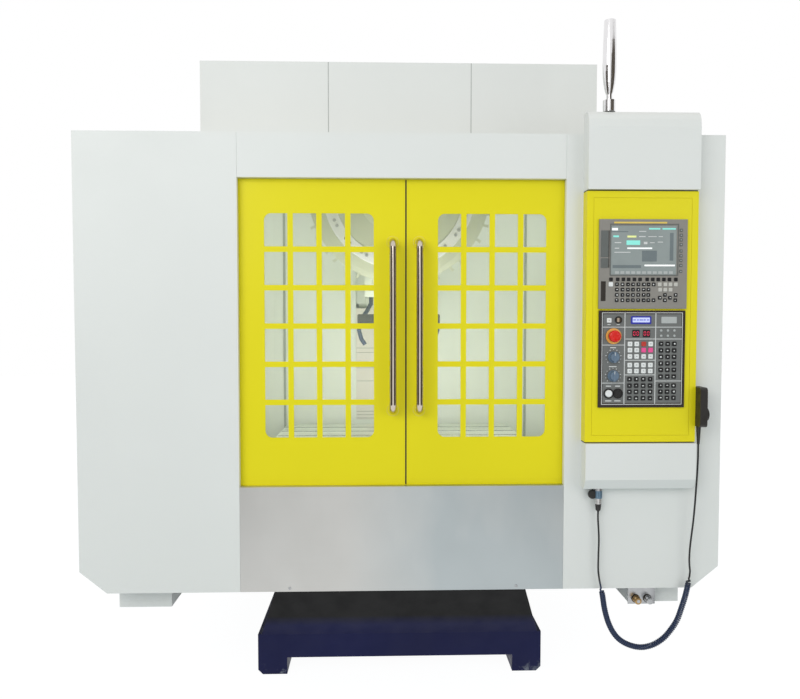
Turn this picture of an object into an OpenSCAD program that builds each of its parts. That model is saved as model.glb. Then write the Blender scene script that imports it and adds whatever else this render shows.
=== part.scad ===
// Vertical machining centre with a full sheet-metal enclosure, sliding front doors,
// a control pendant, a moving table and a disc tool magazine. Millimetres, +Z up.
// Lengths in Y are counted from the front face of the enclosure, and stand() then
// moves the machine so that its origin is the middle of its footprint on the floor.

/* [Enclosure] */
// Width over the side panels
enclosure_w = 2200; // [2160:10:2600]
// Height of the sheet-metal body
enclosure_h = 1560; // [1540:10:1700]
// Gap between the floor and the sheet-metal body
floor_gap = 440; // [420:10:460]
// Depth of the sheet-metal body
enclosure_d = 1560; // [1540:10:1800]
// Thickness of the sheet metal
sheet = 3; // [2:0.5:4]
// Depth of the folded edges of the front panels
fold_d = 22; // [18:1:30]
// Width of the sloping bottom corners
corner_w = 92; // [60:1:100]
// Height of the sloping bottom corners
corner_h = 75; // [50:1:120]
// Distance of the upper cover behind the front face
cover_setback = 330; // [310:5:340]
// Width of the upper cover
cover_w = 1512; // [1400:4:1700]
// Height of the upper cover
cover_h = 350; // [346:2:420]
// Width of the middle panel at the front of the upper cover
cover_mid_w = 544; // [400:4:700]

/* [Doors] */
// Width of the door opening
door_opening_w = 1112; // [1080:4:1140]
// Height of the stainless apron under the doors
apron_h = 362; // [330:2:400]
// Height of the header over the doors
header_h = 150; // [140:2:180]
// How far right of the middle the doors meet
door_mid = 12; // [0:1:16]
// Thickness of a door
door_t = 30; // [26:1:36]
// How far a door slides open
door_travel = 480; // [300:10:490]
// Window columns in a door
window_cols = 4; // [2:1:5]
// Window rows in a door
window_rows = 6; // [3:1:8]
// Width of the window field of a door
window_w = 372; // [300:2:380]
// Height of the window field of a door
window_h = 766; // [600:2:800]
// Width of the bars between windows
window_bar = 19; // [10:1:24]
// Radius of the outer window corners
window_r = 24; // [10:1:40]
// Distance of the windows from the meeting edge of the doors
window_inset = 110; // [100:1:120]
// Distance of the windows from the header
window_drop = 116; // [80:1:130]
// Thickness of a window pane
glass_t = 6; // [4:1:8]
// Length of a door handle
handle_l = 575; // [400:5:640]
// Diameter of a handle tube
handle_dia = 24; // [18:1:30]
// Distance of a handle from the meeting edge of the doors
handle_x = 45; // [40:1:60]
// Clear space behind a handle
handle_reach = 50; // [40:1:70]

/* [Pendant] */
// Width of the control pendant
pendant_w = 376; // [350:2:390]
// Distance of the pendant from the door opening
pendant_gap = 57; // [40:1:70]
// How far the pendant stands out from the front face
pendant_d = 60; // [56:1:90]
// Height of the pendant underside over the enclosure bottom
pendant_low = 359; // [350:1:380]
// Height of the pendant
pendant_h = 1267; // [1240:1:1300]
// How far the coloured pendant front stands out from the front face
front_d = 48; // [44:1:54]
// Height of the coloured pendant front
front_h = 841; // [820:1:850]
// Height of the coloured front over the pendant underside
front_low = 161; // [150:1:170]
// Width of the display unit
display_w = 296; // [280:2:306]
// Height of the display unit
display_h = 297; // [280:1:300]
// Width of the operator panel
panel_w = 292; // [280:2:306]
// Height of the operator panel
panel_h = 326; // [310:1:330]
// Diameter of the emergency stop mushroom
estop_dia = 40; // [30:1:44]
// Travel of the emergency stop
estop_travel = 6; // [4:0.5:8]
// Diameter of the override knobs
knob_dia = 38; // [30:1:42]
// Diameter of the two round push buttons
button_dia = 24; // [18:1:26]
// Travel of the two round push buttons
button_travel = 4; // [3:0.5:5]

/* [Axes] */
// Length of the work table
table_l = 1000; // [900:10:1040]
// Depth of the work table
table_w = 400; // [360:10:410]
// Thickness of the work table
table_t = 96; // [80:2:110]
// Height of the table top over the floor
table_z = 896; // [880:2:910]
// Travel of the table to each side
x_travel = 400; // [200:10:410]
// Travel of the saddle to the front and to the back
y_travel = 240; // [150:10:245]
// Travel of the head down from rest
z_down = 350; // [200:10:360]
// Travel of the head up from rest
z_up = 50; // [20:5:60]
// Distance of the spindle axis behind the front face
spindle_y = 620; // [615:1:630]
// Height of the spindle nose over the floor at rest
nose_z = 1350; // [1330:2:1360]
// Diameter of the spindle housing
housing_dia = 190; // [160:2:200]
// Number of tool grippers on the magazine disc
tool_count = 21; // [12:1:24]
// Radius of the magazine disc over its grippers
magazine_r = 380; // [340:2:390]
// Lean of the magazine disc
magazine_lean = 8; // [6:1:9]

/* [Base] */
// Width of the base casting over its feet
base_w = 1100; // [1080:5:1140]
// Distance of the base front behind the front face
base_setback = 300; // [280:5:310]
// Height of the feet
foot_h = 65; // [50:1:80]
// Width of a foot
foot_w = 112; // [90:1:130]
// Depth of a foot
foot_d = 150; // [120:1:200]
// Height of the upright rim of the base
plinth_h = 157; // [140:1:170]
// Radius of the levelling screw holes in the feet
level_hole_r = 11; // [8:0.5:12]
// Depth of the levelling screw holes
level_hole_d = 55; // [40:1:60]

/* [Cabinet] */
// Width of the electrical cabinet
cabinet_w = 900; // [700:10:1200]
// Height of the electrical cabinet
cabinet_h = 1440; // [1200:10:1500]
// Depth of the electrical cabinet
cabinet_d = 340; // [300:10:400]
// Thickness of the cabinet door
cabinet_door_t = 24; // [20:1:30]

/* [Hidden] */
$fn = 48;
over = 1;
seam = 0.5;
run = 0.4;
half = 0.5;

WHITE = [0.90, 0.91, 0.89];
YELLOW = [0.88, 0.83, 0.10];
NAVY = [0.07, 0.08, 0.22];
STAINLESS = [0.70, 0.71, 0.71];
STEEL = [0.62, 0.63, 0.65];
CHROME = [0.80, 0.80, 0.82];
BLACK = [0.08, 0.08, 0.09];
CASTING = [0.78, 0.80, 0.79];
GLASS = [0.75, 0.85, 0.82, 0.35];
PANEL_GREY = [0.30, 0.31, 0.33];
RED = [0.85, 0.10, 0.10];
KNOB_BLUE = [0.33, 0.40, 0.48];
BRASS = [0.75, 0.60, 0.30];

half_w = enclosure_w * half;
low_z = floor_gap;
top_z = floor_gap + enclosure_h;
door_half = door_opening_w * half;
apron_z = low_z + apron_h;
header_z = top_z - header_h;

// Shift of the inner corner of a folded slope, as a share of the sheet
miter_share = 0.45;

// How far the doors reach behind the panels round the opening
door_lap = 22;
door_w = door_half + door_lap;
door_y = fold_d + sheet + 2 * run;
door_low = apron_z - door_lap;
door_high = header_z + door_lap;
rail_lip = 34;
door_rail_l = 2 * (door_w + door_travel) + door_lap;

window_z = header_z - window_drop - window_h;
pane_margin = 18;

handle_bend_share = 1.25;
handle_bend = handle_dia * handle_bend_share;
handle_low_share = 0.248;
handle_low = apron_z + (header_z - apron_z) * handle_low_share;
rosette_share = 0.85;
rosette_r = handle_dia * rosette_share;
rosette_t = sheet;

pendant_x = door_half + pendant_gap;
pendant_mid = pendant_x + pendant_w * half;
pendant_z = low_z + pendant_low;
pendant_top = pendant_z + pendant_h;
pendant_under = 34;
pendant_under_d = 20;
pendant_top_h = 55;
pendant_top_d = 30;
// Curve of the pendant's top edge: shares of its depth and of its height
pendant_top_shares = [[1, 0], [0.62, 0.07], [0.3, 0.26], [0.1, 0.55], [0, 1]];
front_z = pendant_z + front_low;
front_top = front_z + front_h;
front_gap = 4;
front_back = 3;
front_rim = 22;
front_groove = 2;
bezel_t = 8;
plate_t = 6;
panel_gap = 6;
// Share of the coloured front under the operator panel
panel_low_share = 0.14;
panel_z = front_z + front_h * panel_low_share;
panel_top = panel_z + panel_h;
panel_x = pendant_mid - panel_w * half;
display_z = panel_top + panel_gap;
display_x = pendant_mid - display_w * half;
panel_face_y = -front_d - plate_t;
display_face_y = -front_d - bezel_t;

// Screen: shares of the display unit
screen_w_share = 0.745;
screen_h_share = 0.55;
screen_top_share = 0.07;
screen_left_share = 0.133;
screen_t = 3;
key_t = 2.5;

// Controls: places as shares of the operator panel, from its left edge and its top
estop_shares = [0.169, 0.264];
feed_shares = [0.172, 0.479];
speed_shares = [0.169, 0.672];
on_shares = [0.118, 0.854];
off_shares = [0.224, 0.854];
lock_shares = [0.224, 0.098];
estop_stem_r = 11;
estop_collar_r = 27;
estop_well_r = 18;
estop_collar_t = 4;
estop_cap_t = 14;
estop_cap_shares = [[0.88, 0], [0.98, 0.14], [1, 0.36], [0.98, 0.6], [0.9, 0.82], [0.74, 0.95], [0.5, 1]];
knob_t = 18;
knob_skirt_share = 0.35;
knob_top_share = 0.72;
knob_dot_share = 0.41;
knob_grip_share = 0.22;
knob_grip_l_share = 0.94;
knob_stem_r = 5;
button_t = 7;
button_edge = 2;
lock_r = 8;
lock_t = 7;
lock_bow_t = 3;
lock_bow_w = 13;
stem_d = 20;

// Key fields on the operator panel and on the display unit, in shares of their size:
// left, top, columns, rows, step to the right, step down
panel_key_shares = [
    [0.090, 0.077, 1, 1, 0, 0],
    [0.335, 0.320, 4, 3, 0.0799, 0.0640],
    [0.335, 0.536, 4, 2, 0.0799, 0.0620],
    [0.335, 0.682, 4, 4, 0.0799, 0.0654],
    [0.696, 0.318, 3, 6, 0.0768, 0.0674],
    [0.696, 0.748, 3, 3, 0.0768, 0.0633]
];
panel_key_share = 0.054;
display_key_shares = [
    [0.113, 0.705, 1, 1, 0, 0],
    [0.182, 0.705, 7, 4, 0.0600, 0.0590],
    [0.670, 0.705, 4, 2, 0.0612, 0.0590],
    [0.672, 0.823, 4, 2, 0.0612, 0.0590],
    [0.114, 0.649, 12, 1, 0.0672, 0],
    [0.907, 0.101, 1, 9, 0, 0.0573]
];
display_key_share = 0.042;

// Lamp on the pendant
lamp_h = 300;
lamp_r = 22.5;
lamp_inset = 76;
lamp_x = pendant_x + lamp_inset;
lamp_y = -pendant_d * half + front_back;
lamp_collar_h_share = 0.125;
lamp_neck_h_share = 0.19;
lamp_shares = [
    [0.58, 0.215], [0.72, 0.26], [0.84, 0.31], [0.93, 0.37], [0.98, 0.43], [1, 0.5], [0.99, 0.62], [0.95, 0.78]
];
lamp_neck_r_share = 0.42;
lamp_collar_r_share = 0.90;
lamp_tip_r_share = 0.84;
lamp_wall = 3;
lamp_well = 30;

// Hand unit on the right side of the pendant
unit_t = 25;
unit_w = 76;
unit_h = 133;
unit_corner_r = 11;
unit_x = pendant_x + pendant_w + run;
unit_front = 84;
unit_y = -unit_front;
unit_z = 1013;
unit_dial_r = 22;
unit_dial_t = 14;
unit_dial_z_share = 0.30;
unit_knob_r = 8;
unit_knob_t = 13;
unit_knob_z_share = 0.69;
unit_mid_y = unit_y + unit_w * half;
unit_pin_r = 3;
unit_pin_t = 9;
unit_stem_d = 10;
unit_stem_l = 8;
unit_pin_share = 0.62;
unit_arm_l = 12;
gland_r = 8;
gland_tip_r = 4.5;
gland_h = 62;

// Cord of the hand unit: route points, then the radius of each stretch
lead_r = 3;
coil_r = 9.5;
plug_inset = 57;
plug_x = pendant_x + plug_inset;
plug_y = -20;
socket_r = 14;
socket_h = 12;
plug_r = 11;
plug_h = 44;
boot_h = 26;
boot_r = 7;
boot_tip_r = 4.5;
plug_top = pendant_z;
LEAD_ROUTE = [
    [670, -20, 717], [670, -20, 690], [672, -20, 660], [674, -20, 617], [673, -20, 561],
    [673, -20, 512], [677, -20, 480], [682, -20, 456]
];
COIL_ROUTE = [
    [682, -20, 456], [689.5, -20, 420], [696, -20, 379], [708, -21, 334], [726, -21, 296],
    [750, -22, 268], [784, -22, 249], [824, -23, 241], [865, -23, 249], [900, -24, 271],
    [926, -24, 300], [948, -25, 336], [965, -25, 385], [978, -25, 430], [989, -25, 488]
];
TAIL_ROUTE = [
    [989, -25, 488], [991.3, -25, 500], [988, -26, 525], [986, -28, 553], [987, -30, 594],
    [990, -33, 635], [994, -36, 684], [997, -40, 747], [999, -43, 805], [1001, -45, 862],
    [1001.9, -46, 905], [1001.9, -46, 951]
];
cord_sides = 10;

// Axis stack
rail_w = 32;
rail_h = 30;
way_z = 600;
block_w = 64;
block_l = 100;
block_h = 58;
block_x = 300;
block_y = 110;
saddle_w = 360;
saddle_z = way_z + block_h;
x_rail_y = 120;
x_block_x = 140;
// Rail left over past the last block at the end of each travel
rail_end = 15;
way_end = 40;
z_rail_end = 120;
saddle_l = 2 * (x_travel + x_block_x + block_l * half + rail_end);
way_y0 = spindle_y - y_travel - block_y - block_l * half - way_end;
table_under_z = table_z - table_t;
saddle_top = table_under_z - block_h;
slot_count = 3;
slot_pitch = 110;
slot_neck = 14;
slot_foot = 24;
slot_neck_h = 14;
slot_foot_h = 12;

column_y = 1180;
column_d = 320;
column_w = 460;
column_foot_w = 640;
column_foot_h = 160;
column_top = 2080;
z_rail_x = 150;

head_w = 280;
nose_drop = 80;
head_low = nose_z + nose_drop;
head_h = 470;
z_rail_low = head_low - z_down - z_rail_end;
z_rail_high = head_low + head_h + z_up + z_rail_end;
// Shares of the side outline of the head
head_chin_share = 0.2;
head_step_share = 0.55;
head_neck_share = 0.6;
head_heel_share = 0.4;
shaft_share = 0.45;
head_plate_w = 400;
head_plate_t = 22;
head_block_l = 120;
head_block_d = 30;
head_y1 = column_y - rail_h - head_block_d + rail_h * half;
head_front = spindle_y - housing_dia * half;
motor_w = 180;
motor_h = 230;
motor_block_share = 0.8;
motor_fan_share = 0.85;
shaft_r = 36;
nose_r = 44;
nose_t = 16;
drive_key_share = 0.6;
taper_r = 16;
taper_d = 48;
taper_tip_r = 9;

// Coolant hoses: route from the underside of the head
nozzle_r = 9;
NOZZLE_ROUTE = [
    [115, -20, 0], [115, -20, -26], [132, -21, -58], [160, -23, -98], [166, -24, -140],
    [156, -24, -176], [140, -24, -200]
];

cover_plate_w = 390;
cover_plate_h = 300;
cover_plate_y = 1090;
cover_lap = 50;

back_y = cover_plate_y + 2 * (sheet + seam);
back_fold_x = 600;
back_lean = 30;
corner_clear = 10;
back_edge_x = cover_plate_w * half + seam;

disc_drop = 120;
arm_x = column_w * half + run;
arm_t = 20;
arm_z = top_z - disc_drop - arm_t * 2;
arm_h = 120;
plate_share = 0.75;
plate_y = 470;
plate_d = 20;
disc_y = 430;
disc_z = top_z - disc_drop;
hub_r = 30;
hub_l = 82;
// Shares of the disc: its dish, its raised middle and its grippers
dish_share = 0.95;
foot_share = 0.86;
disc_r = magazine_r * dish_share;
disc_t = 34;
boss_share = 0.4;
rim_share = 0.06;
rim_t = 4;
gripper_l = magazine_r - disc_r * foot_share;
gripper_w = 56;
gripper_t = 10;
gripper_bore_r = 18;
gripper_mouth_share = 0.6;
gripper_neck_share = 0.35;
gripper_root_share = 0.3;

pan_gap = seam;
tray_w = 184;
tray_d = 140;
tray_h = 88;
tray_inset = 281;
tray_x = half_w - tray_inset;
tray_y = 100;
fitting_inset = 243;
fitting_x = half_w - fitting_inset;
fitting_y = 66;
fitting_plate_w = 97;
fitting_plate_h = 83;
fitting_z_share = 0.24;
fitting_r = 9;
fitting_l = 30;
fitting_tip_r = 6;
fitting_step = 42;

base_rear_gap = 80;
base_d = enclosure_d - base_setback - base_rear_gap;
base_shoulder = 15;
base_top_w = 910;
base_slope_z = 400;
way_bed_w = 800;
foot_bevel = 18;

cabinet_z = 520;
cabinet_wall = 4;
cabinet_y = enclosure_d + seam;
cabinet_lip = 30;
hinge_gap = seam;
knuckle_r = 7.5;
knuckle_h = 30;
hinge_x = -cabinet_w * half - knuckle_r - seam;
hinge_z_shares = [0.1, 0.5, 0.85];
latch_r = 16;
latch_l = 120;
latch_t = 12;
latch_bar_w = 22;
latch_z_share = 0.5;
latch_x_share = 0.92;
module_w = 70;
module_h = 300;
module_d = 160;
module_count = 6;
module_z_share = 0.55;
terminal_z_share = 0.2;
louvre_count = 8;
louvre_w = 260;
louvre_h = 10;
louvre_pitch = 24;
louvre_z_shares = [0.12, 0.78];

front_most = max(unit_front, front_d + plate_t + estop_travel + estop_collar_t + estop_cap_t);
rear_most = cabinet_y + cabinet_d + cabinet_door_t + hinge_gap + latch_t;
mid_y = (rear_most - front_most) * half;

// Shared shapes

module stand() translate([0, -mid_y, 0]) children();

// A flat X-Z outline made d deep, backwards from Y = 0
module upright(d) translate([0, d, 0]) rotate([90, 0, 0]) linear_extrude(d) children();

// A flat Y-Z outline made w long, along X from 0
module lengthways(w) rotate([90, 0, 90]) linear_extrude(w) children();

// A box between two opposite corners
module span(a, b) translate(a) cube(b - a);

module rounded(w, h, r) {
    translate([r, 0]) square([w - 2 * r, h]);
    translate([0, r]) square([w, h - 2 * r]);
    for (x = [r, w - r], y = [r, h - r]) translate([x, y]) circle(r);
}

// A folded tray of sheet metal: an X-Z outline with edges turned back
module tray(x0, x1, z0, z1, d) {
    difference() {
        span([x0, 0, z0], [x1, d, z1]);
        span([x0 + sheet, sheet, z0 + sheet], [x1 - sheet, d + over, z1 - sheet]);
    }
}

// A tube swept along route points, r thick
function unit_of(v) = v / norm(v);
function run_dir(p, i) = unit_of(p[min(i + 1, len(p) - 1)] - p[max(i - 1, 0)]);
function ring(c, d, r, n) = [
    for (k = [0:n - 1])
        let (a = 360 * k / n, side = unit_of(cross(d, [0, 1, 0])), up = cross(side, d))
        c + r * (cos(a) * side + sin(a) * up)
];
module tube(route, r) {
    n = cord_sides;
    m = len(route);
    rings = [for (i = [0:m - 1]) ring(route[i], run_dir(route, i), r, n)];
    points = [for (g = rings) for (p = g) p];
    sides = [
        for (i = [0:m - 2]) for (k = [0:n - 1])
            [i * n + k, i * n + (k + 1) % n, (i + 1) * n + (k + 1) % n, (i + 1) * n + k]
    ];
    start = [[for (k = [0:n - 1]) n - 1 - k]];
    end = [[for (k = [0:n - 1]) (m - 1) * n + k]];
    polyhedron(points, concat(sides, start, end), convexity = 6);
}

// Base and axes

module foot_shape() {
    polygon([
        [foot_bevel, 0], [foot_w, 0], [foot_w, foot_h], [0, foot_h], [0, foot_bevel]
    ]);
}

module base_foot(y) {
    for (s = [0, 1])
        mirror([s, 0, 0]) translate([-base_w * half, y, 0]) upright(foot_d) foot_shape();
}

module base_casting() {
    y0 = base_setback;
    y1 = base_setback + base_d;
    w0 = base_w * half;
    w1 = w0 - base_shoulder;
    w2 = base_top_w * half;
    color(NAVY) difference() {
        union() {
            for (y = [y0, (y0 + y1 - foot_d) * half, y1 - foot_d]) base_foot(y);
            span([-w0, y0, foot_h], [w0, y1, plinth_h]);
            hull() {
                span([-w1, y0, plinth_h - over], [w1, y1, plinth_h]);
                span([-w2, way_y0, base_slope_z - over], [w2, y1, base_slope_z]);
            }
            span([-way_bed_w * half, way_y0, base_slope_z - over], [way_bed_w * half, y1, way_z]);
        }
        for (x = [-1, 1], y = [y0 + foot_d * half, y1 - foot_d * half])
            translate([x * (w0 - foot_w * half), y, -over])
                cylinder(r = level_hole_r, h = level_hole_d + over);
        // Chip channel between the two ways
        span([-block_x + block_w, way_y0 - over, way_z - rail_h],
             [block_x - block_w, column_y - block_l, way_z + over]);
    }
}

module linear_rails() {
    color(STEEL) {
        for (s = [-1, 1]) {
            translate([s * block_x - rail_w * half, way_y0, way_z])
                cube([rail_w, column_y - way_y0 - block_w, rail_h]);
            translate([s * z_rail_x - rail_w * half, column_y - rail_h, z_rail_low])
                cube([rail_w, rail_h, z_rail_high - z_rail_low]);
        }
    }
}

// A carriage block over a rail that lies along X, with its top at block_h
module carriage() {
    difference() {
        translate([-block_l * half, -block_w * half, 2 * run])
            cube([block_l, block_w, block_h - 2 * run]);
        translate([-block_l, -rail_w * half - run, -over])
            cube([2 * block_l, rail_w + 2 * run, rail_h + run + over]);
    }
}

module saddle() {
    color(CASTING) {
        difference() {
            translate([-saddle_l * half, spindle_y - saddle_w * half, saddle_z])
                cube([saddle_l, saddle_w, saddle_top - saddle_z]);
            // Relief between the two X ways
            translate([-saddle_l, spindle_y - x_rail_y + block_w, saddle_top - rail_w])
                cube([2 * saddle_l, 2 * (x_rail_y - block_w), rail_w + over]);
        }
        for (x = [-block_x, block_x], y = [-block_y, block_y])
            translate([x, spindle_y + y, way_z]) rotate(90) carriage();
    }
}

module x_rails() {
    color(STEEL) for (s = [-1, 1])
        translate([-saddle_l * half, spindle_y + s * x_rail_y - rail_w * half, saddle_top])
            cube([saddle_l, rail_w, rail_h]);
}

module slot_shape() {
    polygon([
        [-slot_neck * half, over], [-slot_neck * half, -slot_neck_h],
        [-slot_foot * half, -slot_neck_h], [-slot_foot * half, -slot_neck_h - slot_foot_h],
        [slot_foot * half, -slot_neck_h - slot_foot_h], [slot_foot * half, -slot_neck_h],
        [slot_neck * half, -slot_neck_h], [slot_neck * half, over]
    ]);
}

module table() {
    color(STEEL) {
        difference() {
            translate([-table_l * half, spindle_y - table_w * half, table_under_z])
                cube([table_l, table_w, table_t]);
            for (i = [0:slot_count - 1])
                translate([-table_l * half - over,
                           spindle_y + (i - (slot_count - 1) * half) * slot_pitch, table_z])
                    lengthways(table_l + 2 * over) slot_shape();
        }
        for (x = [-x_block_x, x_block_x], y = [-x_rail_y, x_rail_y])
            translate([x, spindle_y + y, saddle_top]) carriage();
    }
}

module column() {
    color(CASTING) translate([0, column_y, 0]) upright(column_d) polygon([
        [-column_foot_w * half, way_z], [column_foot_w * half, way_z],
        [column_foot_w * half, way_z + column_foot_h * half],
        [column_w * half, way_z + column_foot_h], [column_w * half, column_top],
        [-column_w * half, column_top], [-column_w * half, way_z + column_foot_h],
        [-column_foot_w * half, way_z + column_foot_h * half]
    ]);
}

// A motor that stands on Z = 0: a square block and a round fan end over it
module motor(block) {
    translate([-motor_w * half, -motor_w * half, 0]) cube([motor_w, motor_w, block]);
    translate([0, 0, block]) cylinder(d = motor_w * motor_fan_share, h = motor_h - block);
}

// Servo motor that turns the vertical screw, on top of the column
module z_motor() {
    color(BLACK) translate([0, column_y + motor_w, column_top]) {
        motor(motor_h * half);
    }
}

module head_side() {
    y1 = head_y1;
    polygon([
        [head_front, head_low + housing_dia * head_chin_share],
        [head_front, head_low + head_h * head_step_share],
        [spindle_y + housing_dia, head_low + head_h * head_step_share],
        [y1 - housing_dia * head_neck_share, head_low + head_h], [y1, head_low + head_h],
        [y1, head_low], [y1 - housing_dia * head_heel_share, head_low],
        [spindle_y + housing_dia, head_low + housing_dia * head_chin_share]
    ]);
}

module head_casting() {
    housing_low = nose_z + nose_t + run;
    color(WHITE) difference() {
        union() {
            translate([-head_w * half, 0, 0]) lengthways(head_w) head_side();
            translate([0, spindle_y, housing_low])
                cylinder(d = housing_dia, h = head_low + head_h * half - housing_low);
            translate([-head_plate_w * half, head_y1 - head_plate_t, head_low + head_plate_t])
                cube([head_plate_w, head_plate_t, head_h - head_plate_t]);
            for (x = [-z_rail_x, z_rail_x], z = [head_block_l * half, head_h - head_block_l])
                translate([x, column_y - run, head_low + z]) rotate([-90, 0, 180]) head_block();
        }
        translate([0, spindle_y, nose_z]) cylinder(r = shaft_r, h = head_h * half);
    }
}

// A carriage block of the head, with its open side towards the column
module head_block() {
    d = column_y - run - head_y1;
    difference() {
        translate([-block_w * half, -head_block_l * half, 0]) cube([block_w, head_block_l, d]);
        translate([-rail_w * half - run, -head_block_l, -over])
            cube([rail_w + 2 * run, 2 * head_block_l, rail_h + over]);
    }
}

module spindle_motor() {
    z = head_low + head_h * head_step_share;
    color(BLACK) translate([0, spindle_y, z]) {
        motor(motor_h * motor_block_share);
    }
}

module spindle() {
    color(CHROME) translate([0, spindle_y, nose_z]) difference() {
        union() {
            cylinder(r = nose_r, h = nose_t);
            cylinder(r = shaft_r - run, h = head_h * shaft_share);
            for (s = [0, 180]) rotate(s)
                translate([nose_r * drive_key_share, -taper_tip_r * half, -taper_tip_r * half])
                    cube([nose_r - nose_r * drive_key_share - run, taper_tip_r, taper_tip_r]);
        }
        translate([0, 0, -over]) cylinder(r1 = taper_r, r2 = taper_tip_r, h = taper_d + over);
    }
}

module cover_plate(y, z) {
    translate([-cover_plate_w * half, y, z]) cube([cover_plate_w, sheet, cover_plate_h]);
}

module z_cover_top() color(WHITE) cover_plate(cover_plate_y, head_low - cover_plate_h);

module z_cover_mid() {
    color(WHITE) cover_plate(cover_plate_y + sheet + seam, head_low - 2 * cover_plate_h + cover_lap);
}

// Two arms from the column past the head, joined by a plate that carries the disc
module magazine_bracket() {
    color(CASTING) difference() {
        union() {
            for (s = [0, 1]) mirror([s, 0, 0])
                span([arm_x, plate_y, arm_z], [arm_x + arm_t, column_y + arm_h, arm_z + arm_h]);
            span([-arm_x - over, plate_y, disc_z - arm_h * plate_share],
                 [arm_x + over, plate_y + plate_d, arm_z + arm_h]);
        }
        disc_frame() translate([0, 0, -hub_l]) cylinder(r = hub_r + run, h = 2 * hub_l);
    }
}

// Frame of the disc: its Z axis is the turning axis, towards the front and down
module disc_frame() {
    translate([0, disc_y, disc_z]) rotate([90 + magazine_lean, 0, 0]) children();
}

module gripper() {
    difference() {
        translate([0, -gripper_w * half]) square([gripper_l, gripper_w]);
        translate([gripper_l - gripper_bore_r * gripper_mouth_share, 0]) circle(gripper_bore_r);
        for (s = [-1, 1])
            polygon([
                [gripper_l * gripper_neck_share, s * (gripper_w * half + over)],
                [0, s * gripper_w * gripper_root_share], [-over, s * gripper_w * gripper_root_share],
                [-over, s * (gripper_w * half + over)]
            ]);
    }
}

module magazine_disc() {
    color(WHITE) disc_frame() {
        rotate_extrude($fn = 96) polygon([
            [0, disc_t], [disc_r * boss_share, disc_t],
            [disc_r * (boss_share + rim_share), disc_t * foot_share * foot_share],
            [disc_r * (1 - rim_share), disc_t * half], [disc_r, disc_t * half - rim_t], [disc_r, 0],
            [hub_r, 0], [hub_r, -hub_l], [0, -hub_l]
        ]);
        for (i = [0:tool_count - 1])
            rotate(360 * i / tool_count) translate([disc_r * foot_share, 0, rim_t])
                linear_extrude(gripper_t) gripper();
    }
}

// Sheet-metal enclosure

// Outline of the right front panel, t inside its edges
module front_outline(t) {
    slope = t * miter_share;
    polygon([
        [door_half + t, low_z + t], [half_w - corner_w - slope, low_z + t],
        [half_w - t, low_z + corner_h + slope], [half_w - t, top_z - t],
        [door_half + t, top_z - t]
    ]);
}

module front_panel() {
    difference() {
        upright(fold_d) front_outline(0);
        translate([0, sheet, 0]) upright(fold_d) front_outline(sheet);
    }
}

module front_panel_left() color(WHITE) mirror([1, 0, 0]) front_panel();

module front_panel_right() color(WHITE) front_panel();

module side_panel() {
    roof = top_z - sheet - seam;
    slope = sheet * miter_share;
    translate([0, fold_d + seam, 0]) upright(enclosure_d - fold_d - sheet - 2 * seam) polygon([
        [half_w, roof], [half_w, low_z + corner_h], [half_w - corner_w, low_z],
        [half_w - corner_w - sheet, low_z + sheet * half],
        [half_w - sheet, low_z + corner_h + slope], [half_w - sheet, roof]
    ]);
}

module side_panel_left() color(WHITE) mirror([1, 0, 0]) side_panel();

module side_panel_right() color(WHITE) side_panel();

module header_panel() {
    color(WHITE) tray(-door_half + seam, door_half - seam, header_z, top_z, fold_d);
}

module apron_panel() {
    color(STAINLESS) tray(-door_half + seam, door_half - seam, low_z, apron_z, fold_d);
}

// A channel over the edge of the doors, from its lip at Z = 0
module door_rail() {
    gap = door_y - fold_d - sheet;
    inner = door_t + 2 * gap;
    lengthways(door_rail_l) difference() {
        square([inner + 2 * sheet, rail_lip]);
        translate([sheet, -over]) square([inner, rail_lip - sheet + over]);
    }
}

module door_rails() {
    color(STAINLESS) {
        translate([-door_rail_l * half, fold_d, header_z]) door_rail();
        translate([-door_rail_l * half, fold_d, apron_z]) mirror([0, 0, 1]) door_rail();
    }
}

module roof_panels() {
    z0 = top_z - sheet;
    y0 = fold_d + seam;
    color(WHITE) {
        span([-half_w, y0, z0], [half_w, cover_setback - seam, top_z]);
        for (s = [0, 1]) mirror([s, 0, 0])
            span([cover_w * half + seam, cover_setback, z0], [half_w, enclosure_d, top_z]);
    }
}

module upper_cover() {
    w = cover_w * half;
    z0 = top_z - sheet;
    z1 = top_z + cover_h;
    y0 = cover_setback;
    inner = cover_mid_w * half;
    color(WHITE) {
        span([-inner + seam * half, y0, z0], [inner - seam * half, y0 + sheet, z1]);
        for (s = [0, 1]) mirror([s, 0, 0]) {
            span([inner + seam * half, y0, z0], [w, y0 + sheet, z1]);
            span([w - sheet, y0 + sheet + seam, z0], [w, enclosure_d - sheet - seam, z1]);
        }
        span([-w, enclosure_d - sheet, z0 + sheet + seam], [w, enclosure_d, z1]);
        span([-w + sheet + seam, y0 + sheet + seam, z1 - sheet],
             [w - sheet - seam, enclosure_d - sheet - seam, z1]);
    }
}

module rear_panel() {
    roof = top_z - sheet - seam;
    color(WHITE) translate([0, enclosure_d - sheet, 0]) upright(sheet) polygon([
        [-half_w, roof], [-half_w, low_z + corner_h], [-half_w + corner_w, low_z],
        [half_w - corner_w, low_z], [half_w, low_z + corner_h], [half_w, roof]
    ]);
}

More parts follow.
